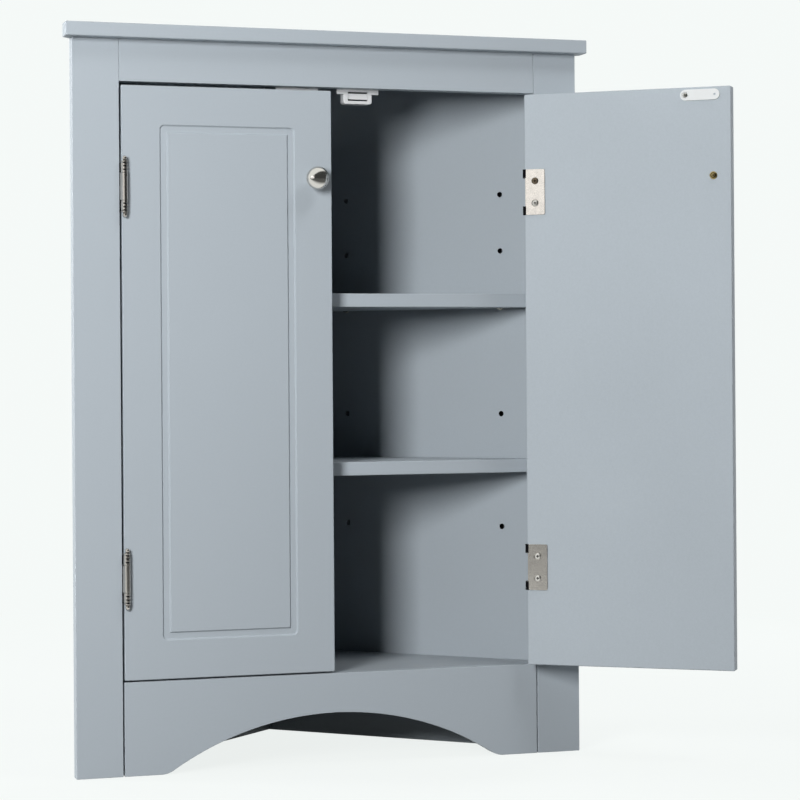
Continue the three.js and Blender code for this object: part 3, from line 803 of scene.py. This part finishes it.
def pin_places():
    return {"front": PIN_INSET["front"], "rear": WALL_LENGTH - PIN_INSET["rear"]}


def pin_hole():
    return turned([(HOLE_RADIUS, -PIN_DEPTH - SEAT), (HOLE_RADIUS, SEAT)])


def in_hole(place):
    """Whether a face of a side panel is inside a pin hole, seen from the hole's mouth. These faces
    get painted shade.
    """
    return place.y < -SEAT and math.hypot(place.x, place.z) < HOLE_RADIUS + SEAT


def side_panels():
    butt = INNER_SUM - GLUE_GAP * math.sqrt(2)
    outlines = {
        "left": [
            from_front(-FRONT_HALF, BOARD),
            from_front(-INNER_SUM + BOARD, BOARD),
            from_front((WALL_SUM - INNER_SUM) / 2, (WALL_SUM + INNER_SUM) / 2),
            from_front(0.0, WALL_SUM),
        ],
        "right": [
            from_front(FRONT_HALF, BOARD),
            from_front((WALL_SUM - butt) / 2, (WALL_SUM + butt) / 2),
            from_front((INNER_SUM - butt) / 2, (INNER_SUM + butt) / 2),
            from_front(INNER_SUM - BOARD, BOARD),
        ],
    }
    for side_name, side in SIDES.items():
        node = f"{side_name}_side_panel"
        low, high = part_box(node)
        panel = as_piece(node + "_board", upright(outlines[side_name], low.z, high.z, FRAME_ROUND))
        spots = {
            column: [
                wall_frame(side, along, PIN_HEIGHT[place] + step * PIN_PITCH)
                for place in PLACES
                for step in HOLE_STEPS[place]
            ]
            for column, along in pin_places().items()
        }
        carved(panel, [moved(pin_hole(), spot) for column in spots.values() for spot in column])
        # The whole side panel takes the darker paint of painted shade
        fitted(panel, "carcass", "painted_board", FINISHES["inside paint with painted shade"], node)
        # Painted shade in the front column of pin holes only; the rear column keeps the board's
        # colour
        paint_shade(panel, in_hole, *spots["front"])


def corner_board_outline(node):
    low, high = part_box(node)
    return [(low.x, low.y), (high.x, low.y), (0.0, high.y)]


def floor_and_shelves():
    low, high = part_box("floor_panel")
    outline = corner_board_outline("floor_panel")
    bm = upright(outline, low.z, high.z, FRAME_ROUND)
    board("floor_board", bm, "floor_panel", "inside paint with painted shade")
    for place in PLACES:
        node = f"{place}_shelf"
        low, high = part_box(node)
        bm = upright(corner_board_outline(node), low.z, high.z, BOARD_ROUND)
        shelf = as_piece(node + "_board", bm)
        ceiling = PIN_HEIGHT[place] + PIN_RADIUS + SEAT
        half = PIN_COLLAR_RADIUS + NOTCH_MARGIN
        notches = []
        for side in SIDES.values():
            for along in pin_places().values():
                outline = box_outline((-half, -NOTCH_MARGIN), (half, PIN_REACH + NOTCH_MARGIN))
                notch = upright(outline, low.z - NOTCH_MARGIN, ceiling, SEAT)
                notches.append(moved(notch, wall_frame(side, along, 0.0)))
        carved(shelf, notches)
        fitted(shelf, "carcass", "painted_board", FINISHES["paint"], node)


def shelf_pins():
    collar = SEAT + PIN_COLLAR
    lip = PIN_LIP
    profile = [
        (PIN_RADIUS * POINT_SHARE, -PIN_DEPTH),
        (PIN_RADIUS, -PIN_DEPTH + lip),
        (PIN_RADIUS, SEAT),
        (PIN_COLLAR_RADIUS - lip, SEAT),
        (PIN_COLLAR_RADIUS, SEAT + lip),
        (PIN_COLLAR_RADIUS, collar - lip),
        (PIN_COLLAR_RADIUS - lip, collar),
        (PIN_RADIUS, collar),
        (PIN_RADIUS, PIN_REACH - 2 * lip),
        (PIN_RADIUS - lip, PIN_REACH - lip / 2),
        (PIN_RADIUS - 3 * lip, PIN_REACH),
    ]
    for place in PLACES:
        for side_name, side in SIDES.items():
            for column, along in pin_places().items():
                node = f"{place}_shelf_pin_{side_name}_{column}"
                pin = as_piece(node + "_turned", turned(profile))
                spot = wall_frame(side, along, PIN_HEIGHT[place])
                fitted(pin, "carcass", "zinc_steel", FINISHES["zinc"], node, at=spot)


# Screws

def cross_recess(head, crown):
    """The tapered cross that a screwdriver fits."""
    half = head * RECESS_SHARE
    slot = RECESS_WIDTH / 2
    quarter = [(half, slot), (slot, slot), (slot, half)]
    outline = []
    for _ in range(4):
        outline += quarter
        quarter = [(-z, x) for x, z in quarter]
    ends = ((1.0, crown + SCREW_DOME), (RECESS_TAPER_SHARE, crown - RECESS_DEPTH))
    return skin([
        [Vector((x * share, place, z * share)) for x, z in outline] for share, place in ends
    ])


def dome(radius, start, height):
    """A low dome, as radius and place, from its rim almost to its middle."""
    count = DOME_STEPS + 1
    sweep = [math.pi / 2 * step / count for step in range(count)]
    return [(radius * math.cos(turn), start + height * math.sin(turn)) for turn in sweep]


def in_recess(place, head, crown):
    """Whether a face of a screw, by its place along the screw's own axes, is in its recess. These
    faces get painted shade.
    """
    deep = crown - RECESS_DEPTH - SEAT < place.y < crown - SEAT
    return deep and math.hypot(place.x, place.z) < head * RECESS_SHARE


def drive_in(screw, body, slot, finish, node, spot, head=SCREW_HEAD, crown=SCREW_DOME):
    """Put a screw in its place, with painted shade in its recess."""
    nodes = (node,) if node else ()
    fitted(screw, body, slot, FINISHES[finish], *nodes, at=spot)
    paint_shade(screw, lambda place: in_recess(place, head, crown), spot)


def countersunk_screw(name, head=SCREW_HEAD):
    """A wood screw along Y, with its rim at zero and its head towards +Y."""
    cone = head - SCREW_SHANK
    profile = [
        (SCREW_SHANK * SCREW_POINT_SHARE, -SCREW_LENGTH),
        (SCREW_SHANK, -SCREW_LENGTH + 2 * SCREW_SHANK),
        (SCREW_SHANK, -cone),
        *dome(head, 0.0, SCREW_DOME),
    ]
    return carved(as_piece(name, turned(profile)), [cross_recess(head, SCREW_DOME)])


def pan_screw(name, head, height, shank, length):
    """A machine screw along Y, with the underside of its head at zero."""
    edge = height * PAN_EDGE_SHARE
    profile = [
        (shank * POINT_SHARE, -length),
        (shank, -length + shank / 2),
        (shank, 0.0),
        (head * PAN_RIM_SHARE, 0.0),
        (head, edge / 2),
        *dome(head * PAN_TOP_SHARE, edge, height - edge),
    ]
    recess = cross_recess(head * PAN_RECESS_SHARE, height)
    return carved(as_piece(name, turned(profile)), [recess])


# Hinges, drawn round the axis of a closed door: u runs towards the door's free edge

DOOR_FRONT = HINGE_PROUD
DOOR_BACK = HINGE_PROUD + BOARD
LEAF_FRONT = DOOR_BACK + SEAT
LEAF_BACK = LEAF_FRONT + LEAF
DOOR_GAP = LEAF + 2 * LEAF_CLEARANCE
FRAME_EDGE = -DOOR_EDGE - DOOR_GAP
DOOR_SCREW_U = SCREW_INSET - DOOR_EDGE
FRAME_SCREW_U = FRAME_EDGE - SCREW_INSET
STRIP_U = -DOOR_EDGE - LEAF_CLEARANCE - LEAF / 2
BACK_Y = LEAF_FRONT + LEAF / 2
CURL_RADIUS = (BARREL_RADIUS + BORE_RADIUS) / 2
HINGE_HEIGHT = {
    place: sum(corner.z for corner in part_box(f"left_{place}_frame_leaf")) / 2 for place in PLACES
}


def hinge_frame(side_name, height=0.0, swing=True):
    """Where the hinge axis is, turned with the door at rest or left as the frame's half is."""
    x, y = from_front(HINGE[side_name].x, HINGE[side_name].y)
    angle = OPEN_ANGLE[side_name] if swing else 0.0
    return Matrix.Translation((x, y, height)) @ Matrix.Rotation(angle, 4, "Z")


def offset_line(points, distance):
    """A line beside another, at a distance to its left."""
    shifted = []
    for index, point in enumerate(points):
        before = points[max(index - 1, 0)]
        after = points[min(index + 1, len(points) - 1)]
        into = (point - before).normalized() if index else (after - point).normalized()
        out = (after - point).normalized() if index < len(points) - 1 else into
        middle = (into + out).normalized()
        normal = Vector((-middle.y, middle.x))
        spread = max(normal.dot(Vector((-out.y, out.x))), SHARPEST_MITRE)
        shifted.append(point + normal * distance / spread)
    return shifted


def bent_sheet(points, low, high):
    """A strip of sheet metal bent along a line in plan."""
    line = [Vector(point) for point in points]
    outline = offset_line(line, LEAF / 2) + list(reversed(offset_line(line, -LEAF / 2)))
    return upright(outline, low, high, LEAF_ROUND, SHEET_STEPS, SHEET_EDGE_ANGLE)


def knuckle_line(side, into_plate):
    """From the plate behind, through the gap beside the door, and once round the pin."""
    way = -1 if into_plate < STRIP_U else 1
    middle = (STRIP_U + way * LEAF, BACK_Y - LEAF)
    corner = arc(middle, LEAF, 90, 180 if way > 0 else 0, BEND_STEPS)
    root = [(STRIP_U, CURL_RADIUS * share) for share in ROOT_SHARES]
    turn = (STRIP_U * ROOT_TURN_SHARES[0], CURL_RADIUS * ROOT_TURN_SHARES[1])
    curl = arc((0.0, 0.0), CURL_RADIUS, *CURL_SWEEP, CURL_STEPS)
    line = [(into_plate, BACK_Y), *corner, *root, turn, *curl]
    return [(-side * u, y) for u, y in line]


def leaf_plate(side, u_from, u_to):
    """The flat of a leaf, with rounded corners."""
    start, end = sorted((-side * u_from, -side * u_to))
    half = LEAF_HEIGHT / 2
    outline = rounded_box_outline((start, -half), (end, half), LEAF_CORNER)
    return facing(outline, LEAF_FRONT, LEAF, LEAF_ROUND, SHEET_STEPS)


def countersink(rim, x, z=0.0):
    """The hole for a wood screw in a leaf or a strike plate, as a form to cut out."""
    shank = SCREW_SHANK + SEAT
    profile = [
        (shank, LEAF_FRONT - LEAF),
        (shank, LEAF_FRONT),
        (rim, LEAF_BACK),
        (rim, LEAF_BACK + LEAF),
    ]
    return moved(turned(profile), Matrix.Translation((x, 0.0, z)))


def leaf_holes(side, u):
    """The holes for the two screws of a leaf."""
    rim = SCREW_HEAD + SINK_MARGIN
    return [countersink(rim, -side * u, way * SCREW_SPACING / 2) for way in (-1, 1)]


def frame_leaf(name, side):
    near = FRAME_EDGE - LEAF_CLEARANCE
    half = MIDDLE_KNUCKLE / 2
    plate = leaf_plate(side, near, FRAME_EDGE - LEAF_REACH)
    sheet = bent_sheet(knuckle_line(side, near - LEAF), -half, half)
    return carved(as_piece(name, merged(plate, sheet)), leaf_holes(side, FRAME_SCREW_U))


def door_leaf(name, side):
    near = -DOOR_EDGE + LEAF_SETBACK
    far = -DOOR_EDGE + LEAF_REACH
    start = MIDDLE_KNUCKLE / 2 + KNUCKLE_GAP
    end = start + END_KNUCKLE
    tab_end = LEAF_HEIGHT / 2
    parts = [leaf_plate(side, near, far)]
    line = knuckle_line(side, near + LEAF)
    curl = line[-CURL_POINTS - CURL_LEAD:]
    root = line[:-CURL_POINTS + ROOT_TAIL]
    edges = [start]
    for place in RING_PLACES:
        edges += [place - RING_GAP / 2, place + RING_GAP / 2]
    edges.append(end)
    for low, high in zip(edges[::2], edges[1::2]):
        parts.append(bent_sheet(curl, low, high))
        parts.append(bent_sheet(curl, -high, -low))
    parts.append(bent_sheet(root, tab_end - TAB_HEIGHT, tab_end))
    parts.append(bent_sheet(root, -tab_end, -tab_end + TAB_HEIGHT))
    return carved(as_piece(name, merged(*parts)), leaf_holes(side, DOOR_SCREW_U))


def hinge_pin(name):
    """The pin with its collar and a small ball at each end, along Z."""
    shaft = MIDDLE_KNUCKLE / 2 + KNUCKLE_GAP + END_KNUCKLE
    collar = shaft + SEAT
    low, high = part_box("left_upper_hinge_pin")
    ball = (high.z - low.z) / 2 - TIP_RADIUS
    turns = [math.radians(degrees) for degrees in TIP_SWEEP]
    tip = [(TIP_RADIUS * math.cos(turn), ball + TIP_RADIUS * math.sin(turn)) for turn in turns]
    upper = [
        (BORE_RADIUS - SEAT, collar),
        (BARREL_RADIUS - SEAT / 2, collar),
        (BARREL_RADIUS, collar + SEAT / 2),
        (BARREL_RADIUS - SEAT / 2, collar + SEAT),
        (TIP_NECK, collar + 2 * SEAT),
        *tip,
    ]
    lower = [(radius, -place) for radius, place in reversed(upper)]
    pin = moved(turned(lower + upper), Matrix.Rotation(math.radians(90), 4, "X"))
    return as_piece(name, pin)


def in_tab(place, side):
    """Whether a face of a door leaf belongs to the two tabs that go round the door's edge. These
    faces get painted shade, where the shadow beside the door's edge falls.
    """
    beside = -side * place.x < -DOOR_EDGE + LEAF_SETBACK - TAB_MARGIN
    return beside and place.xy.length > BARREL_RADIUS + SEAT


def in_bore(place):
    """Whether a face of a pin is on its shaft, inside the knuckles. These faces get painted shade,
    so the gaps between the knuckles look dark.
    """
    return place.xy.length < BORE_RADIUS and abs(place.z) < MIDDLE_KNUCKLE


def hinge(side_name, side, place):
    """The two leaves, the pin and the four screws of a hinge."""
    body = f"{side_name}_door"
    node = f"{side_name}_{place}"
    still = hinge_frame(side_name, HINGE_HEIGHT[place], swing=False)
    swung = hinge_frame(side_name, HINGE_HEIGHT[place])
    nickel = FINISHES["nickel"]
    frame_half = frame_leaf(node + "_frame_leaf_bent", side)
    fitted(frame_half, "carcass", "nickel", nickel, node + "_frame_leaf", at=still)
    door_half = door_leaf(node + "_door_leaf_bent", side)
    fitted(door_half, body, "nickel", nickel, node + "_door_leaf", at=swung)
    # Painted shade on the tabs of the door leaf and on the pin's shaft
    paint_shade(door_half, lambda spot: in_tab(spot, side), swung)
    pin = hinge_pin(node + "_hinge_pin_turned")
    fitted(pin, body, "nickel", nickel, node + "_hinge_pin", at=swung)
    paint_shade(pin, in_bore, swung)
    halves = (("frame", "carcass", still, FRAME_SCREW_U), ("door", body, swung, DOOR_SCREW_U))
    for end, way in ENDS.items():
        for half, carrier, base, u in halves:
            screw_node = f"{node}_{half}_screw_{end}"
            finish = "bronze" if screw_node == BRONZED_SCREW else "screw nickel"
            offset = Matrix.Translation((-side * u, LEAF_BACK, way * SCREW_SPACING / 2))
            screw = countersunk_screw(screw_node + "_driven")
            drive_in(screw, carrier, "nickel", finish, screw_node, base @ offset)


def hinges():
    for side_name, side in SIDES.items():
        for place in PLACES:
            hinge(side_name, side, place)


# Doors

DOOR_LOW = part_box("left_door")[0].z
DOOR_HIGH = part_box("left_door")[1].z
KNOB_U = DOOR_WIDTH - DOOR_EDGE - KNOB_EDGE
KNOB_HEIGHT = DOOR_HIGH - KNOB_DROP
STRIKE_U = HINGE_INSET - CATCH_CENTRE
STRIKE_HEIGHT = DOOR_HIGH - STRIKE_DROP - STRIKE.z / 2


def on_door(side_name, side, u, depth, height):
    """A place on a door, by how far it lies from the hinge's axis, behind it and up."""
    return hinge_frame(side_name) @ Matrix.Translation((-side * u, depth, height))


def door_section():
    """The section of a door from the middle of its back to its raised field: inset, depth and
    corner radius."""
    edge = DOOR_ROUND
    floor = DOOR_FRONT + GROOVE_DEPTH
    foot = GROOVE_INSET + GROOVE_SLOPE + GROOVE_FLOOR
    section = arc((edge, DOOR_BACK - edge), edge, 90, 180, DOOR_ROUND_STEPS)
    section += arc((edge, DOOR_FRONT + edge), edge, 180, 270, DOOR_ROUND_STEPS)
    rows = [(inset, depth, max(DOOR_CORNER - inset, SHARP_CORNER)) for inset, depth in section]
    rise = CREASE * GROOVE_DEPTH / GROOVE_SLOPE
    wall = [
        (-CREASE, DOOR_FRONT),
        (CREASE, DOOR_FRONT + rise),
        (GROOVE_SLOPE - CREASE, floor - rise),
        (GROOVE_SLOPE + CREASE, floor),
    ]
    for inset, depth in wall:
        rows.append((GROOVE_INSET + inset, depth, GROOVE_CORNER - inset))
    for inset, depth in reversed(wall):
        rows.append((foot + GROOVE_SLOPE - inset, depth, SHARP_CORNER + CREASE))
    return rows


def door_slab(side_name, side):
    loops = []
    ends = sorted((side * (DOOR_EDGE - DOOR_EASE), -side * (DOOR_WIDTH - DOOR_EDGE)))
    for inset, depth, corner in door_section():
        low = (ends[0] + inset, DOOR_LOW + DOOR_EASE + inset)
        high = (ends[1] - inset, DOOR_HIGH - DOOR_EASE - inset)
        loops.append([Vector((x, depth, z)) for x, z in rounded_box_outline(low, high, corner)])
    node = f"{side_name}_door"
    door = as_piece(node + "_panel", skin(loops), DOOR_EDGE_ANGLE)
    back = max(door.data.polygons, key=lambda face: face.normal.y * face.area).index
    hung = hinge_frame(side_name)
    fitted(door, node, "painted_board", FINISHES["paint"], node, at=hung)
    # The door's back takes the lighter, more speckled paint of painted sheen
    door.data.materials.append(FINISHES["door back paint with painted sheen"])
    door.data.polygons[back].material_index = 1


def knob(side_name, side):
    body = f"{side_name}_door"
    profile = [(radius * KNOB_RADIUS, place * KNOB_REACH) for radius, place in KNOB_OUTLINE_SHARES]
    facing_out = moved(turned(profile, KNOB_FACETS), Matrix.Rotation(math.pi, 4, "Z"))
    piece = as_piece(f"{side_name}_knob_turned", facing_out, KNOB_EDGE_ANGLE)
    spot = on_door(side_name, side, KNOB_U, DOOR_FRONT - SEAT, KNOB_HEIGHT)
    fitted(piece, body, "bright_nickel", FINISHES["bright nickel"], f"{side_name}_knob", at=spot)
    start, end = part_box("left_knob_screw")
    length = end.y - start.y - KNOB_SCREW_HEIGHT
    node = f"{side_name}_knob_screw"
    screw = pan_screw(
        node + "_turned", KNOB_SCREW_HEAD, KNOB_SCREW_HEIGHT, KNOB_SCREW_SHANK, length)
    spot = on_door(side_name, side, KNOB_U, LEAF_FRONT, KNOB_HEIGHT)
    drive_in(screw, body, "brass", "brass", node, spot, KNOB_SCREW_HEAD, KNOB_SCREW_HEIGHT)


def strike_plate(side_name, side):
    body = f"{side_name}_door"
    half = STRIKE / 2
    outline = rounded_box_outline(
        (-half.x, -half.z), (half.x, half.z), half.z, STRIKE_CORNER_STEPS)
    bm = facing(outline, LEAF_FRONT, STRIKE.y, STRIKE_ROUND, SHEET_STEPS)
    plate = as_piece(f"{side_name}_strike_pressed", bm)
    screw_x = side * STRIKE_HOLES / 2
    nib = turned([(STRIKE_NIB, LEAF_FRONT - STRIKE.y), (STRIKE_NIB, LEAF_BACK + STRIKE.y)])
    carved(plate, [
        moved(nib, Matrix.Translation((-screw_x, 0, 0))),
        countersink(SCREW_HEAD + SEAT, screw_x),
    ])
    spot = on_door(side_name, side, STRIKE_U, 0, STRIKE_HEIGHT)
    white = FINISHES["white steel"]
    fitted(plate, body, "white_steel", white, f"{side_name}_strike_plate", at=spot)
    node = f"{side_name}_strike_screw"
    screw = countersunk_screw(node + "_driven", STRIKE_SCREW_HEAD)
    spot = spot @ Matrix.Translation((screw_x, LEAF_BACK, 0))
    drive_in(screw, body, "zinc_steel", "zinc", node, spot, STRIKE_SCREW_HEAD)


# Catches behind the top rail

def catch_face_outline():
    """The catch from the front: a body that hangs down, with an ear on each side."""
    half = CATCH_BODY.x / 2
    ear = CATCH_EAR.x / 2
    corner = CATCH_CORNER
    bottom = -CATCH_BODY.z
    return [
        *arc((half - corner, bottom + corner), corner, 270, 360, CATCH_CORNER_STEPS),
        (half, -CATCH_EAR.z),
        (ear, -CATCH_EAR.z),
        (ear, CATCH_HEIGHT),
        (-ear, CATCH_HEIGHT),
        (-ear, -CATCH_EAR.z),
        (-half, -CATCH_EAR.z),
        *arc((-half + corner, bottom + corner), corner, 180, 270, CATCH_CORNER_STEPS),
    ]


def catches():
    half = CATCH_BODY.x / 2
    ear = CATCH_EAR.x / 2
    pole = POLE_WIDTH / 2
    low, high = -POLE_DROP, POLE_SPACING - POLE_DROP
    margin = POLE / 2 + SEAT
    magnet_front = CATCH_FRONT + MAGNET_SETBACK
    white = FINISHES["white plastic"]
    for side_name, side in SIDES.items():
        node = f"{side_name}_catch"
        at = Matrix.Translation((*from_front(side * CATCH_CENTRE, 0.0), OPENING_TOP))
        face = facing(catch_face_outline(), CATCH_FRONT, CATCH_EAR.y, CATCH_ROUND)
        outline = rounded_box_outline((-half, -CATCH_BODY.z), (half, CATCH_HEIGHT), CATCH_CORNER)
        core = facing(outline, CATCH_FRONT + SEAT, CATCH_BODY.y - SEAT, CATCH_ROUND)
        outline = box_outline((-ear, 0.0), (ear, CATCH_HEIGHT))
        pad = facing(outline, BOARD, CATCH_FRONT + SEAT - BOARD, TRIM_ROUND, TRIM_STEPS)
        housing = as_piece(node + "_moulding", merged(face, core, pad))
        outline = box_outline((-pole - SEAT, low - margin), (pole + SEAT, high + margin))
        depth = MAGNET_SETBACK + MAGNET_DEPTH + SEAT + CATCH_ROUND
        carved(housing, [facing(outline, CATCH_FRONT - CATCH_ROUND, depth, SEAT, TRIM_STEPS)])
        fitted(housing, "carcass", "white_plastic", white, node + "_housing", at=at)
        parts = []
        for height in (low, high):
            outline = box_outline((-pole, height - POLE / 2), (pole, height + POLE / 2))
            parts.append(facing(outline, magnet_front, MAGNET_DEPTH, TRIM_ROUND, TRIM_STEPS))
        poles = as_piece(node + "_poles", merged(*parts))
        fitted(poles, "carcass", "magnet_steel", FINISHES["dark steel"], node + "_magnet", at=at)
        outline = box_outline((-pole, low + POLE / 2), (pole, high - POLE / 2))
        front, depth = magnet_front + POLE / 2, MAGNET_DEPTH - POLE
        block = as_piece(node + "_block", facing(outline, front, depth, TRIM_ROUND, TRIM_STEPS))
        fitted(block, "carcass", "white_plastic", white, at=at)
        for end_name, end in SIDES.items():
            screw = pan_screw(
                f"{node}_screw_{end_name}", CATCH_SCREW_HEAD, CATCH_SCREW_HEIGHT,
                CATCH_SCREW_SHANK, CATCH_SCREW_LENGTH)
            seat = Vector((end * (half + ear) / 2, CATCH_FRONT + CATCH_EAR.y + SEAT,
                           CATCH_HEIGHT / 2))
            drive_in(screw, "carcass", "zinc_steel", "zinc", None, at @ Matrix.Translation(seat),
                     CATCH_SCREW_HEAD, CATCH_SCREW_HEIGHT)


# Studio

def seen_directly(tree):
    """One where a ray comes from the camera, from gloss or through glass, and zero elsewhere."""
    path = add(tree, "ShaderNodeLightPath").outputs
    either = calculated(tree, "MAXIMUM", path["Is Camera Ray"], path["Is Glossy Ray"])
    return calculated(tree, "MAXIMUM", either, path["Is Transmission Ray"])


def studio_floor():
    """White to the camera but for a faint shadow, darker to gloss near the front, and a weak
    reflector to the rest."""
    bm = bmesh.new()
    bmesh.ops.create_grid(bm, x_segments=1, y_segments=1, size=FLOOR_SIZE / 2)
    floor = as_piece("studio_floor", bm)
    finish = bpy.data.materials.new("pale studio floor")
    finish.use_nodes = True
    tree = finish.node_tree
    tree.nodes.clear()
    white = with_alpha(WHITE)
    lit = add(tree, "ShaderNodeBsdfDiffuse", {"Color": with_alpha(FLOOR_LIT)})
    glow = add(tree, "ShaderNodeEmission", {"Color": white, "Strength": 1.0})
    place = add(tree, "ShaderNodeNewGeometry").outputs["Position"]
    reach = add(tree, "ShaderNodeVectorMath", {0: place}, operation="LENGTH").outputs["Value"]
    shown = mixed_shader(tree, ranged(tree, reach, SHADOW_REACH, SHADOW_SHARES), glow, lit)
    near = dot(tree, place, GLOSS_FLOOR_WAY)
    mirrored = add(tree, "ShaderNodeEmission", {
        "Color": white, "Strength": ranged(tree, near, GLOSS_FLOOR_SPAN, GLOSS_FLOOR_LIGHT),
    })
    glossy = add(tree, "ShaderNodeLightPath").outputs["Is Glossy Ray"]
    direct = mixed_shader(tree, glossy, shown, mirrored)
    bounce = add(tree, "ShaderNodeBsdfDiffuse", {"Color": with_alpha(FLOOR_BOUNCE)})
    whole = mixed_shader(tree, seen_directly(tree), bounce, direct)
    add(tree, "ShaderNodeOutputMaterial", {"Surface": whole.outputs[0]})
    floor.data.materials.append(finish)


def studio_world():
    """White to the camera. To gloss it is white behind and above, and dark behind the camera,
    and to the rest it is a weak light from the backdrop."""
    world = bpy.data.worlds.new("pale studio")
    bpy.context.scene.world = world
    world.use_nodes = True
    tree = world.node_tree
    tree.nodes.clear()
    path = add(tree, "ShaderNodeLightPath").outputs
    way = add(tree, "ShaderNodeTexCoord").outputs["Generated"]
    back = add(tree, "ShaderNodeSeparateXYZ", {0: way}).outputs["Y"]
    ambient = calculated(tree, "MULTIPLY", ranged(tree, back, BACKDROP_SPAN), AMBIENT)
    mirrored = ranged(tree, dot(tree, way, GLOSS_SKY_WAY), GLOSS_SKY_SPAN, GLOSS_SKY_LIGHT)
    straight = calculated(tree, "MAXIMUM", path["Is Camera Ray"], path["Is Transmission Ray"])
    direct = mixed_number(tree, straight, mirrored, 1.0)
    level = mixed_number(tree, seen_directly(tree), ambient, direct)
    whole = add(tree, "ShaderNodeBackground", {"Color": with_alpha(WHITE), "Strength": level})
    add(tree, "ShaderNodeOutputWorld", {"Surface": whole.outputs[0]})


def area_light(name, place, size, power, in_gloss, on_matt):
    data = bpy.data.lights.new(name, "AREA")
    data.shape = "RECTANGLE"
    data.size, data.size_y = size
    data.energy = power
    lamp = bpy.data.objects.new(name, data)
    bpy.context.scene.collection.objects.link(lamp)
    lamp.visible_glossy = in_gloss
    lamp.visible_diffuse = on_matt
    aim = (LAMP_TARGET - Vector(place)).to_track_quat("-Z", "Y")
    lamp.matrix_world = Matrix.Translation(place) @ aim.to_matrix().to_4x4()


def camera():
    data = bpy.data.cameras.new("camera")
    data.sensor_width = CAMERA_SENSOR
    data.lens = CAMERA_LENS
    data.shift_x, data.shift_y = CAMERA_SHIFT
    data.clip_end = CAMERA_REACH
    viewer = bpy.data.objects.new("camera", data)
    bpy.context.scene.collection.objects.link(viewer)
    level = Vector((math.sin(CAMERA_TURN), math.cos(CAMERA_TURN), 0.0))
    right = Vector((math.cos(CAMERA_TURN), -math.sin(CAMERA_TURN), 0.0))
    up = Vector((0.0, 0.0, 1.0))
    ahead = level * math.cos(CAMERA_PITCH) + up * math.sin(CAMERA_PITCH)
    tilted = up * math.cos(CAMERA_PITCH) - level * math.sin(CAMERA_PITCH)
    rolled_right = right * math.cos(CAMERA_ROLL) + tilted * math.sin(CAMERA_ROLL)
    rolled_up = tilted * math.cos(CAMERA_ROLL) - right * math.sin(CAMERA_ROLL)
    turn = Matrix((rolled_right, rolled_up, -ahead)).transposed().to_4x4()
    viewer.matrix_world = Matrix.Translation(CAMERA_PLACE) @ turn
    bpy.context.scene.camera = viewer


camera()
studio_world()
studio_floor()
for lamp_values in LAMPS:
    area_light(*lamp_values)

top_panel()
stiles_and_top_rail()
foot_rail()
side_panels()
floor_and_shelves()
shelf_pins()
hinges()
catches()
for side_name, side in SIDES.items():
    door_slab(side_name, side)
    knob(side_name, side)
    strike_plate(side_name, side)

bpy.context.scene.view_settings.view_transform = "Standard"

bpy.context.view_layer.update()
